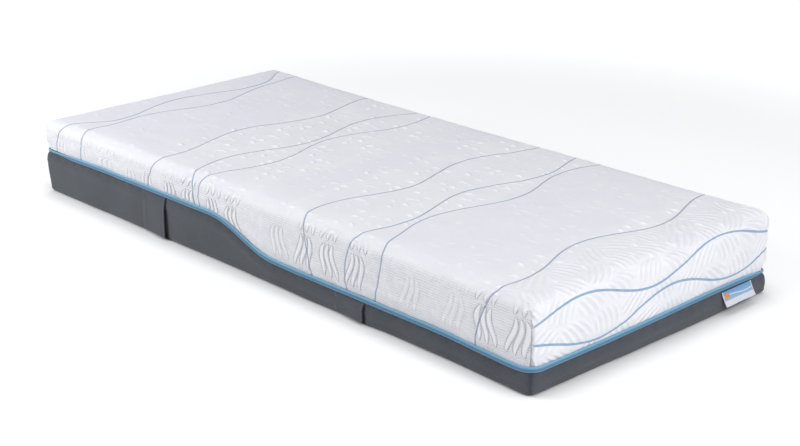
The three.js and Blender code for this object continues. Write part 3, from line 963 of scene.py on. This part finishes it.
def swept(walk, profile, heights):
    """A profile of (outwards, up) points carried along the walk. Its marks say how far along and around."""
    count, turns = len(walk), len(profile)
    base = np.stack([walk[:, 0], walk[:, 1], heights], axis=1)
    out = np.stack([walk[:, 2], walk[:, 3], np.zeros(count)], axis=1)
    points = base[:, None, :] + out[:, None, :] * profile[None, :, 0:1]
    points[:, :, 2] += profile[None, :, 1]
    i, j = np.meshgrid(np.arange(count), np.arange(turns), indexing="ij")
    after, beside = (i + 1) % count, (j + 1) % turns
    quads = np.stack([i * turns + j, after * turns + j, after * turns + beside, i * turns + beside], axis=-1)
    step = np.linalg.norm(np.diff(base, axis=0, append=base[:1]), axis=1)
    distance = np.concatenate([[0], np.cumsum(step)[:-1]])
    tall = np.abs(profile[:, 1]).max()
    marks = {
        "run": np.repeat(distance, turns),
        "level": np.tile(profile[:, 1] / tall, count),
    }
    return Surface(points.reshape(-1, 3), quads.reshape(-1, 4), marks)


def padded_profile(middle, half_out, half_up, power, count):
    """A soft-cornered cross-section centred a little way out from the side."""
    turn = np.linspace(0, 2 * np.pi, count, endpoint=False)
    across, up = np.cos(turn), np.sin(turn)
    shrink = (np.abs(across) ** power + np.abs(up) ** power) ** (-1 / power)
    return np.stack([middle + half_out * across * shrink, half_up * up * shrink], axis=1)


BAND_PINCH = 0.55  # the band narrows at two corners, where the cover sags over it
TWILL_PITCH = 0.0024
STITCH_LEVEL = 0.62  # the row of stitches lies this share of the half-height below the middle
BAND_STITCH_PITCH = 0.0045


def guard_band_surface():
    """The padded blue band that covers the zip, all round."""
    walk = outline(0.0, PLAN_RADIUS, 0.006)
    heights = zip_height(walk[:, 0], walk[:, 1])
    half_out = (BAND_OUTER - BAND_INNER) * 0.45
    band = swept(walk, padded_profile(half_out, half_out, BAND_HALF_HEIGHT, 3.2, 20), heights)
    diagonal = band.points[:, 0] * band.points[:, 1] / (HALF_X * HALF_Y)
    centre = zip_height(band.points[:, 0], band.points[:, 1])
    pinch = 1 - BAND_PINCH * ease(diagonal, 0.84, 0.97)
    band.points[:, 2] = centre + (band.points[:, 2] - centre) * pinch
    puckers = np.sin(2 * np.pi * band.marks["run"] / 0.021) * 0.00018
    puckers += 0.0006 * lumps(band.marks["run"], band.marks["level"], 0.05, 11)
    fold = -0.0003 * hill(band.marks["level"] - 0.35, 0.12)
    band.points += band.normals() * (puckers + fold)[:, None]
    return band


def band_blue():
    """Blue woven tape with a painted highlight along its padded top, and a stitched lower edge."""
    graph = Graph("band_blue", roughness=0.6, sheen=0.1)
    run, level, place = graph.value("run"), graph.value("level"), graph.place()
    twill = graph.wave(run + level * 0.004, TWILL_PITCH)
    thread = graph.noise(place, 0.0016, detail=3)
    # painted highlight: the tape is lighter towards its top
    colour = graph.mix(graph.remap(level, 0.0, 0.8), tone(78, 126, 160), tone(124, 172, 198))
    stitch_row = ramp(size(level + STITCH_LEVEL), 0.12, 0.05)
    stitch = stitch_row * ramp(graph.wave(run, BAND_STITCH_PITCH), 0.35, 0.6)
    colour = graph.mix(stitch * 0.6, colour, tone(190, 212, 230))
    light = twill * 0.10 + graph.tinge(thread, 0.86, 1.0)
    return graph.finish(graph.shade(colour, light), twill * 0.6 + stitch * 0.5, depth=0.0005)


TAPE_INSET = 0.006
TAPE_HEIGHT = 0.015
TAPE_CORNER = 0.022
TAPE_HALF = 0.0005  # half the thickness of the tape
TAPE_GAP = 0.0012  # from the zip's centre line to the tape
TOOTH_PITCH = 0.0042
TOOTH_SIZE = 0.0026
TOOTH_RISE = 0.0016  # from the zip's centre line to the middle of a tooth


def zip_tape_surface(side):
    """One half of the zip all round: woven tape with its row of teeth. side is 1 above the zip, -1 below."""
    walk = outline(-TAPE_INSET, TAPE_CORNER, 0.008)
    heights = zip_height(walk[:, 0], walk[:, 1])
    low, high = TAPE_GAP, TAPE_GAP + TAPE_HEIGHT
    outer = [(TAPE_HALF, level) for level in (low, (low + high) / 2, high)]
    profile = np.array([(-TAPE_HALF, low), *outer, (-TAPE_HALF, high)]) * [1, side]
    if side < 0:
        profile = profile[::-1]
    tape = swept(walk, profile, heights)
    at = outline(-TAPE_INSET, TAPE_CORNER, TOOTH_PITCH)[1:]
    level = zip_height(at[:, 0], at[:, 1]) + side * TOOTH_RISE
    steps, quads = lattice((1, 1, 1), ALL_SIDES)
    corner = steps - 0.5
    out = np.stack([at[:, 2], at[:, 3], np.zeros(len(at))], axis=1)
    run = np.stack([-at[:, 3], at[:, 2], np.zeros(len(at))], axis=1)
    middle = np.stack([at[:, 0], at[:, 1], level], axis=1)
    taper = 1 - 0.35 * (corner[:, 2] * side < 0)
    teeth = middle[:, None] + run[:, None] * (corner[:, 0] * TOOTH_SIZE * taper)[None, :, None]
    teeth = teeth + out[:, None] * (corner[:, 1] * TOOTH_SIZE)[None, :, None]
    teeth[:, :, 2] += corner[:, 2] * TOOTH_SIZE
    all_quads = (quads[None] + 8 * np.arange(len(at))[:, None, None]).reshape(-1, 4)
    tooth_row = Surface(teeth.reshape(-1, 3), all_quads, {"paint": np.ones(len(at) * 8)})
    return joined([tape, tooth_row])


def zip_tape_cloth():
    """Herringbone zip tape."""
    graph = Graph("zip_tape_cloth", roughness=0.75)
    run, place = graph.value("run"), graph.place()
    bone = graph.wave(run + size(graph.value("level")), 0.0022)
    light = bone * 0.25 + graph.tinge(graph.noise(place, 0.002), 0.7, 0.9)
    return graph.finish(graph.shade(tone(70, 74, 84), light), bone, depth=0.0003)


def zip_teeth():
    """Moulded polymer teeth with a slight polish."""
    graph = Graph("zip_teeth", roughness=0.38)
    mottled = graph.noise(graph.place(), 0.003)
    polymer = graph.shade(tone(86, 90, 100), graph.tinge(mottled, 0.85, 1.1))
    return graph.finish(polymer, mottled, depth=0.0001)


# ---------------------------------------------------------------- lower cover

# the edges of the straps that face the foot end
STRAP_EDGES = [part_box(node)[1].x for node in ("handle_head_near", "handle_foot_near")]
STRAP_SHADE = 0.82  # how much the painted shadow darkens the border just behind a strap's edge
LIP = 0.025  # how far the border turns in under the base
BORDER_ROWS = 26
BORDER_BULGE = 0.0030
BORDER_SEAM = 0.0016  # depth of its upright corner seams
PUCKER_PITCH = 0.043  # the puckers under the band
PUCKER_HEIGHT = 0.0006
BASE_SEAM_PLACE = 0.15  # the base's two long seams lie this far from its middle


def border_rulings(half, count):
    """Lattice lines from edge to edge, closer together in the lip along both edges."""
    lip = np.linspace(0, LIP, 6)
    inner = np.linspace(LIP - half, half - LIP, count)
    return np.unique(np.round(np.concatenate([inner, half - lip, lip - half]), 6))


def lower_cover_surface():
    """Border and base of the lower cover in one surface, from just under the zip down and under."""
    xs, ys = border_rulings(HALF_X, 241), border_rulings(HALF_Y, 97)
    surface = ruled_box(xs, ys, np.linspace(0, 1, BORDER_ROWS + 1), OPEN_ABOVE)
    sharp = surface.points.copy()
    x, y = sharp[:, 0], sharp[:, 1]
    edge = zip_height(x, y) - SLOT_HALF
    up = sharp[:, 2]
    sharp[:, 2] = up * edge
    surface.points = soft_outline(sharp, edge - sharp[:, 2], BORDER_POWER, 0.016)
    out = surface.normals()
    side = up > 1e-6
    run = x + y
    upper = hill(edge - sharp[:, 2], 0.02) * side
    bulge = BORDER_BULGE * np.sin(np.pi * np.clip(up, 0, 1)) ** 0.8 * side
    puckers = np.sin(2 * np.pi * run / PUCKER_PITCH + 3 * lumps(run, up, 0.3, 9)) * upper * PUCKER_HEIGHT
    waves = 0.0009 * lumps(run, up * 0.2, 0.16, 12) * side
    waves += 0.0022 * lumps(run, up * 0, 0.11, 13) * hill(up, 0.25) * side
    gap = np.maximum(HALF_X - np.abs(x), HALF_Y - np.abs(y))
    seam = hill(gap, 0.0045) * side
    middle = -0.0008 * hill(np.abs(y) - BASE_SEAM_PLACE, 0.004) * ~side
    height = (bulge + puckers + waves) * (1 - hill(gap, 0.02)) - BORDER_SEAM * seam + middle
    surface.points += out * height[:, None]
    # the long sides are where the material paints the shadow behind the straps
    surface.marks = {"seam": seam, "upper": upper, "hollow": side * (np.abs(y) > HALF_Y - 1e-6),
                     "face_x": x, "face_y": y, "face_up": up}
    return surface


def lower_cover_parts(surface):
    """Which faces belong to each panel: mitred at the corners, with the base inside the lip."""
    corners = surface.marks["face_x"][surface.quads], surface.marks["face_y"][surface.quads]
    x, y = (values.mean(axis=1) for values in corners)
    flat = surface.marks["face_up"][surface.quads].max(axis=1) < 1e-6
    base = flat & (np.abs(x) < HALF_X - LIP) & (np.abs(y) < HALF_Y - LIP)
    to_end = (HALF_X - np.abs(x)) < (HALF_Y - np.abs(y))
    return {
        "base_panel": base,
        "border_panel_near": ~base & ~to_end & (y < 0),
        "border_panel_far": ~base & ~to_end & (y > 0),
        "border_end_head": ~base & to_end & (x < 0),
        "border_end_foot": ~base & to_end & (x > 0),
    }


WEAVE_PITCH = 0.0018
DOT_PITCH = 0.02  # grip dots of the underside
DARK_YARN = tone(49, 54, 61)
LIGHT_YARN = tone(80, 85, 93)


def melange(graph, place, dark, light):
    """Light and dark yarns twisted together: the colour, and the yarns themselves."""
    yarn = graph.noise(graph.stretch(place, (1.0, 1.0, 4.0)), 0.004, detail=4, rough=0.7)
    speckle = graph.noise(place, 0.0013)
    share = graph.remap(yarn, 0.35, 0.65, 0.0, 0.55) + graph.remap(speckle, 0.4, 0.65, 0.0, 0.45)
    return graph.mix(share, dark, light), yarn


def dark_cloth(name, dark, light, dots=False):
    """Melange polyester: woven light and dark yarns, with painted shade in its seams, under the band and
    behind the straps.
    """
    graph = Graph(name, roughness=0.8, sheen=0.2)
    place = graph.place()
    x, y, z = graph.split(place)
    weave = graph.wave(x + y, WEAVE_PITCH) * graph.wave(z + y * 0.4, WEAVE_PITCH)
    colour, yarn = melange(graph, place, dark, light)
    cloudy = graph.noise(place, 0.12)
    shade = weave * 0.16 + graph.tinge(cloudy, 0.84, 1.0)
    # painted shade: darker in the seams' grooves and just under the band's overhang
    shade = shade - graph.value("seam") * 0.35 - graph.value("upper") * 0.12
    # painted shadow in the gap behind each strap's edge that faces the foot end
    for edge in STRAP_EDGES:
        behind = ramp(x, edge - 0.034, edge - 0.026) * ramp(x, edge + 0.0045, edge + 0.0030)
        shade = shade * (1 - behind * graph.value("hollow") * STRAP_SHADE)
    height = weave * 0.8 + yarn * 0.5
    if dots:
        dot = ramp(graph.wave(x, DOT_PITCH) * graph.wave(y, DOT_PITCH), 0.72, 0.8)
        colour = graph.mix(dot, colour, tone(44, 46, 52))
        height = height + dot * 2.0
    return graph.finish(graph.shade(colour, shade), height, depth=0.0004)


# ---------------------------------------------------------------- foam inside

def foam_material(name, colour, pore):
    """Open-celled foam: pores, a skin of finer bubbles and a little yellowing."""
    graph = Graph(name, roughness=0.92)
    place = graph.place()
    pores = graph.cells(place, pore)
    bubbles = graph.noise(place, pore * 0.6, detail=4, rough=0.7)
    cloudy = graph.noise(place, 0.15, detail=2)
    shade = graph.remap(pores, 0.05, 0.5, 0.80, 1.0) + graph.tinge(bubbles, -0.06, 0.06)
    aged = tuple(part * share for part, share in zip(colour[:3], (1.0, 0.95, 0.82))) + (1,)
    tint = graph.mix(graph.remap(cloudy, 0.4, 0.75, 0.0, 0.6), colour, aged)
    return graph.finish(graph.shade(tint, shade), pores + bubbles, depth=0.0008)


def foam_block(low, high, step, radius, extra_x=()):
    """A cut foam block with softened edges and a slightly uneven surface."""
    ruled = [rulings(low[k], high[k], step, radius * 1.3, extra_x if k == 0 else ()) for k in range(3)]
    block = ruled_box(*ruled)
    sharp = block.points.copy()
    block.points = round_edges(sharp, low, high, radius)
    uneven = 0.0004 * lumps(sharp[:, 0] + sharp[:, 2], sharp[:, 1] - sharp[:, 2], 0.03, 7) - 0.0004
    block.points += block.normals() * uneven[:, None]
    block.marks = {"sharp_x": sharp[:, 0], "sharp_z": sharp[:, 2]}
    return block


def foam_halves(layer, slot, shape):
    """A full-length foam layer as two closed blocks that meet at x 0."""
    for half, cut_end in (("head_half", 1), ("foot_half", 0)):
        span = layer_span(layer)
        span[cut_end][0] = 0
        dress_half(layer, half, shape(*span), [FOAMS[slot]])


SLIT_PITCH = 0.1
SLIT_HALF = 0.002
SLIT_DEPTH = 0.05
CHANNEL_HALF = 0.007
CHANNEL_DEPTH = 0.030
CELL_ROWS = 8
VISCO_ROLL = 0.024  # the foam's top edges roll over inside the cover's


def core_block(low, high):
    """High resilience core, slit across its underside so that it profiles."""
    slits = [x for x in np.arange(-0.85, 0.9, SLIT_PITCH) if low[0] + 0.03 < x < high[0] - 0.03]
    edges = [x + side * gap for x in slits for side in (-1, 1) for gap in (SLIT_HALF, SLIT_HALF + 0.0008)]
    block = foam_block(low, high, 0.03, 0.004, edges + slits)
    bottom = block.marks["sharp_z"] < low[2] + 1e-6
    for x in slits:
        inside = bottom & (np.abs(block.marks["sharp_x"] - x) < SLIT_HALF + 1e-4)
        block.points[inside, 2] += SLIT_DEPTH
    return block


def plain_block(low, high):
    """A foam block with nothing cut into it."""
    return foam_block(low, high, 0.025, 0.005)


def visco_block(low, high):
    """Castellated memory foam: soft-topped cells between channels along and across."""
    xs = rulings(low[0], high[0], 0.0075, VISCO_ROLL)
    ys = rulings(low[1], high[1], 0.0075, VISCO_ROLL)
    block = ruled_box(xs, ys, rulings(low[2], high[2], 0.014, VISCO_ROLL))
    sharp = block.points.copy()
    square_below = low - np.array([0, 0, VISCO_ROLL])
    block.points = round_edges(sharp, square_below, high, VISCO_ROLL)
    row = (high[1] - low[1]) / CELL_ROWS
    to_column = np.abs((sharp[:, 0] + SLIT_PITCH / 2) % SLIT_PITCH - SLIT_PITCH / 2)
    to_row = np.abs((sharp[:, 1] - low[1] + row / 2) % row - row / 2)
    to_row = np.where(np.abs(sharp[:, 1]) > high[1] - row / 2, row, to_row)
    to_column = np.where(np.abs(sharp[:, 0]) > 0.95, SLIT_PITCH, to_column)
    gap = np.minimum(to_column, to_row)
    cut = 1 - ease(gap, CHANNEL_HALF * 0.5, CHANNEL_HALF * 2.2)
    dome = 0.0035 * (1 - np.clip(gap / (SLIT_PITCH * 0.45), 0, 1)) ** 2
    top = sharp[:, 2] > high[2] - 1e-6
    block.points[:, 2] -= top * (cut * CHANNEL_DEPTH + dome)
    return block


# ---------------------------------------------------------------- handles, label and zip pull

STRAP_THICKNESS = 0.0022
STRAP_NEAR = 0.004  # how far the strap bows out at its edge nearer the head
STRAP_FAR = 0.0120  # and at its edge nearer the foot
STRAP_UPRIGHT = 0.78  # share of the strap's length before it turns under
STRAP_TURN_HEIGHT = 0.011
STRAP_TUCK = 0.010
STRAP_DROP = 0.008  # its sewn top lies this far below the zip's centre line
STITCH_INSET = 0.007
STRAP_STITCH_PITCH = 0.0042


def strap_surface(node):
    """A wide strap handle: sewn in behind the band, bowed clear of the side and turned in under the edge."""
    low, high = (np.array(corner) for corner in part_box(node))
    side = 1 if low[1] > 0 else -1
    counts = (30, 64, 1)
    steps, quads = lattice(counts, ALL_SIDES)
    across, down, layer = (steps / np.array(counts)).T
    width = high[0] - low[0]
    x = low[0] + across * width
    top = zip_height((low[0] + high[0]) / 2, -HALF_Y) - STRAP_DROP
    bowed_out = STRAP_NEAR + (STRAP_FAR - STRAP_NEAR) * ease(across, 0.1, 0.95)
    drop = np.clip(down / STRAP_UPRIGHT, 0, 1)
    tuck = np.clip((down - STRAP_UPRIGHT) / (1 - STRAP_UPRIGHT), 0, 1)
    turn = tuck * np.pi / 2
    out = 0.001 + (bowed_out - 0.001) * np.sin(np.clip(drop * 2.2, 0, 1) * np.pi / 2) ** 0.7
    out = out - (bowed_out + STRAP_TUCK) * (1 - np.cos(turn))
    z = top + (STRAP_TURN_HEIGHT - top) * drop - (STRAP_TURN_HEIGHT - 0.0016) * np.sin(turn)
    strap = Surface(np.stack([x, side * (HALF_Y + out), z], axis=1), quads)
    edge_gap = np.minimum(across, 1 - across) * width
    lift = (layer - 0.5) * STRAP_THICKNESS * (1 - 0.45 * hill(edge_gap, 0.0025))
    lift = lift - 0.0005 * hill(edge_gap - STITCH_INSET, 0.0016) * layer
    strap.points[:, 1] += side * np.cos(turn) * lift
    strap.points[:, 2] -= np.sin(turn) * lift
    strap.points[:, 2] = np.maximum(strap.points[:, 2], 0.0004)
    if side > 0:
        strap.quads = strap.quads[:, ::-1]
    # the face towards the border, which the material darkens as painted shade
    strap.marks = {"edge_gap": edge_gap, "lining": 1 - layer}
    return strap


def strap_cloth():
    """The border's dark cloth made up as a strap, with a row of stitches along each edge and painted shade
    on its inner face.
    """
    graph = Graph("strap_cloth", roughness=0.78, sheen=0.2)
    place = graph.place()
    x, _, z = graph.split(place)
    weave = graph.wave(x, WEAVE_PITCH) * graph.wave(z, WEAVE_PITCH)
    colour, _ = melange(graph, place, DARK_YARN, LIGHT_YARN)
    row = ramp(size(graph.value("edge_gap") - STITCH_INSET), 0.0011, 0.0005)
    stitch = row * ramp(graph.wave(z, STRAP_STITCH_PITCH), 0.3, 0.5)
    colour = graph.mix(stitch, colour, tone(126, 130, 140))
    # painted shade: the inner face is made much darker
    shade = (weave * 0.16 + 0.86) * (1 - graph.value("lining") * 0.85)
    return graph.finish(graph.shade(colour, shade), weave * 0.6 + stitch, depth=0.0005)


LABEL_LOW, LABEL_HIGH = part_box("care_label")
LABEL_WIDTH = (LABEL_HIGH.y - LABEL_LOW.y) * 1.12  # a little wider than its CAD node
LABEL_START = LABEL_HIGH.y - 0.007
LABEL_ROOT = float(zip_height(HALF_X, (LABEL_LOW.y + LABEL_HIGH.y) / 2)) - 0.011
LABEL_LENGTH = 0.039
LABEL_CELLS = (36, 16, 1)


def label_surface():
    """The woven label: a folded strip sewn in under the band, curling a little away from the border."""
    steps, quads = lattice(LABEL_CELLS, ALL_SIDES)
    across, down, layer = (steps / np.array(LABEL_CELLS)).T
    y = LABEL_START - across * LABEL_WIDTH
    out_x, _ = bow(np.full(len(y), HALF_X), y)
    lean = 0.34 + 0.16 * down + 0.05 * np.sin(3.0 * across + 0.4)
    reach = LABEL_LENGTH * down
    x = HALF_X + out_x + 0.0040 + reach * np.sin(lean)
    z = LABEL_ROOT - reach * np.cos(lean)
    surface = Surface(np.stack([x, y, z], axis=1), quads)
    lift = (layer - 0.5) * 0.0009
    surface.points[:, 0] += lift * np.cos(lean)
    surface.points[:, 2] += lift * np.sin(lean)
    surface.points[:, 0] += 0.0008 * np.sin(9 * across) * down
    surface.marks = {"across_label": across, "down_label": down}
    return surface


def label_satin():
    """Sky-blue satin with one pale wave, a white lower band and hem, and a plain orange patch."""
    graph = Graph("label_satin", roughness=0.42, sheen=0.1)
    across, down = graph.value("across_label"), graph.value("down_label")
    place = graph.place()
    weave = graph.wave(across + down * 0.6, 0.012)
    colour = graph.mix(ramp(down, 0.0, 0.6), tone(112, 162, 208), tone(146, 184, 220))
    hem = ramp(least(across, 1.0 - across), 0.03, 0.02)
    colour = graph.mix(most(ramp(down, 0.60, 0.63), hem), colour, tone(226, 229, 240))
    swoop = sine(across * 6.0) * 0.07 + 0.36
    stripe = ramp(size(down - swoop), 0.05, 0.03)
    colour = graph.mix(stripe * 0.7, colour, tone(226, 238, 248))
    in_patch = within(across, 0.78, 0.96, 0.01) * within(down, 0.16, 0.50, 0.02)
    colour = graph.mix(in_patch, colour, tone(224, 150, 84))
    light = weave * 0.06 + graph.tinge(graph.noise(place, 0.004), 0.9, 0.98)
    return graph.finish(graph.shade(colour, light), weave, depth=0.0002)


def zip_metal():
    """Tumbled nickel with fine scratches, its tone lighter and darker along them."""
    graph = Graph("zip_nickel", roughness=0.32, metallic=1.0)
    place = graph.wired("ShaderNodeTexCoord", {}, "Object")
    scratches = graph.noise(graph.stretch(place, (1.0, 1.0, 12.0)), 0.0012, detail=4)
    graph.put(graph.surface.inputs["Roughness"], graph.tinge(scratches, 0.25, 0.45))
    worn = graph.mix(graph.remap(scratches, 0.35, 0.7), tone(150, 152, 158), tone(196, 197, 200))
    return graph.finish(worn, scratches, depth=0.00008)


# ---------------------------------------------------------------- dress the frame

two_halves("top_cover", cover_surface(), [knit_white()])
two_halves("quilt_wadding", wadding_surface(), [fibre_wadding()])
two_halves("zip_guard_band", guard_band_surface(), [band_blue()])
TAPE_FINISH = [zip_tape_cloth(), zip_teeth()]
two_halves("zip_tape_upper", zip_tape_surface(1), TAPE_FINISH)
two_halves("zip_tape_lower", zip_tape_surface(-1), TAPE_FINISH)


def dress_lower_cover():
    """Cuts the lower cover into its panels: each end panel goes on its section, the others are cut in two
    halves.
    """
    whole = lower_cover_surface()
    whole.shading = whole.normals()
    border = dark_cloth("border_cloth", DARK_YARN, LIGHT_YARN)
    base = dark_cloth("base_cloth", tone(48, 50, 56), tone(74, 78, 86), dots=True)
    for panel, faces in lower_cover_parts(whole).items():
        surface = whole.part(faces)
        if panel == "base_panel":
            two_halves(panel, surface, [base])
        elif panel in ("border_panel_near", "border_panel_far"):
            two_halves(panel, surface, [border])
        else:
            piece = dressed(panel, surface, [border], [panel.replace("end", "panel")])
            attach(piece, "back_section" if panel.endswith("head") else "leg_section")


dress_lower_cover()

FOAMS = {name: foam_material(name, tone(*colour), pore) for name, colour, pore in (
    ("visco_foam", (238, 226, 196), 0.0022),
    ("transition_foam", (158, 196, 216), 0.0028),
    ("core_foam", (236, 236, 230), 0.0032),
    ("firm_foam", (120, 134, 150), 0.0025),
    ("heel_foam", (206, 186, 214), 0.0025),
)}
foam_halves("core_foam", "core_foam", core_block)
foam_halves("side_bolster_near", "firm_foam", plain_block)
foam_halves("side_bolster_far", "firm_foam", plain_block)
foam_halves("transition_foam", "transition_foam", plain_block)
foam_halves("visco_layer", "visco_foam", visco_block)

heel_low, heel_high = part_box("heel_zone_insert")
heel_block = plain_block(np.array(heel_low), np.array(heel_high))
heel = dressed("heel_insert", heel_block, [FOAMS["heel_foam"]], ["heel_zone_insert"])
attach(heel, "leg_section")

STRAP_FINISH = [strap_cloth()]
for end, section in (("head", "back_section"), ("foot", "leg_section")):
    for side, sign in (("near", -1), ("far", 1)):
        strap_node = f"handle_{end}_{side}"
        webbing = strap_surface(strap_node)
        strap = dressed(f"strap_{end}_{side}", webbing, STRAP_FINISH, [strap_node])
        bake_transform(strap)

label = dressed("woven_label", label_surface(), [label_satin()], ["care_label"])
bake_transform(label)

METAL = zip_metal()
for name in ("zip_slider", "zip_pull"):
    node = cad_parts[name]
    node.data.materials.clear()
    node.data.materials.append(METAL)
    node.modifiers.new("soft_edges", "BEVEL").width = 0.0002


# ---------------------------------------------------------------- floor, light and camera

SHADOW_REACH = 0.10  # how far from the mattress the floor's contact shadow, partly painted, reaches
NEAR_GLOW = 0.32  # the floor's painted glow near the mattress, seen by the camera only
FAR_GLOW = 0.30  # and how much more it has far off
SKY_STRENGTH = 0.52
MIDDLE = (0, 0, 0.1)
FOOT_END = (1, 0.1, 0.1)
LAMPS = (  # name, place, what it points at, power in watts, width
    ("key", (3.4, -0.8, 2.2), MIDDLE, 50, 1.8),
    ("high", (0.6, -0.3, 3.8), MIDDLE, 10, 1.8),
    ("fill_head", (-2.4, -2.6, 1.8), MIDDLE, 70, 1.6),
    ("fill_foot", (3.9, 0.4, 1.0), FOOT_END, 15, 1.2),
)
EYE_PLACE = (3.118, -2.851, 1.552)  # the camera that was fitted to the photo's corners
EYE_TURN = 136.61  # the way it looks: degrees round from +X, then degrees up
EYE_TILT = -19.70
EYE_LENS = 70.56  # millimetres, on a film this wide
FILM_WIDTH = 36


def studio_floor():
    """A plain pale floor that glows for the camera only. The glow fades round the mattress into a painted
    contact shadow, on top of the lamps' own shadow.
    """
    bpy.ops.mesh.primitive_plane_add(size=60, location=(0, 0, -0.0005))
    floor = bpy.context.object
    floor.name = "studio_floor"
    pale = Graph("floor_pale", roughness=0.9)
    pale.surface.inputs["Emission Color"].default_value = (1, 1, 1, 1)
    seen_directly = Wire(pale, pale.wired("ShaderNodeLightPath", {}, "Is Camera Ray"))
    open_sky = pale.wired("ShaderNodeAmbientOcclusion", {"Distance": SHADOW_REACH}, "AO", samples=12)
    openness = ramp(Wire(pale, open_sky), 0.35, 1.0)
    x, y, _ = pale.split(pale.wired("ShaderNodeTexCoord", {}, "Object"))
    far_off = ramp(root(x * x + y * y), 1.6, 3.2)
    # painted light: the glow is weaker where the mattress hems the floor in, which paints the contact shadow
    glow = seen_directly * (openness * NEAR_GLOW + far_off * FAR_GLOW)
    pale.put(pale.surface.inputs["Emission Strength"], glow)
    floor.data.materials.append(pale.finish((0.80, 0.80, 0.80, 1)))


def studio_light():
    """An even sky and four wide lamps, strongest from the foot end and from the near side's head."""
    world = bpy.data.worlds.new("studio_sky")
    world.use_nodes = True
    sky = world.node_tree.nodes["Background"]
    sky.inputs["Color"].default_value = (0.97, 0.98, 1.0, 1)
    sky.inputs["Strength"].default_value = SKY_STRENGTH
    bpy.context.scene.world = world
    for name, place, aim, power, width in LAMPS:
        light = bpy.data.lights.new(name, "AREA")
        light.energy = power
        light.size = width
        lamp = bpy.data.objects.new(name, light)
        lamp.location = place
        lamp.rotation_euler = (Vector(aim) - Vector(place)).to_track_quat("-Z", "Y").to_euler()
        bpy.context.scene.collection.objects.link(lamp)


def studio_camera():
    """The photo's view of the mattress."""
    eye = bpy.data.cameras.new("camera")
    eye.lens = EYE_LENS
    eye.sensor_width = FILM_WIDTH
    camera = bpy.data.objects.new("camera", eye)
    turn, tilt = math.radians(EYE_TURN), math.radians(EYE_TILT)
    look = Vector((math.cos(tilt) * math.cos(turn), math.cos(tilt) * math.sin(turn), math.sin(tilt)))
    camera.location = EYE_PLACE
    camera.rotation_euler = look.to_track_quat("-Z", "Y").to_euler()
    bpy.context.scene.collection.objects.link(camera)
    bpy.context.scene.camera = camera
    bpy.context.scene.view_settings.view_transform = "Standard"


studio_floor()
studio_light()
studio_camera()
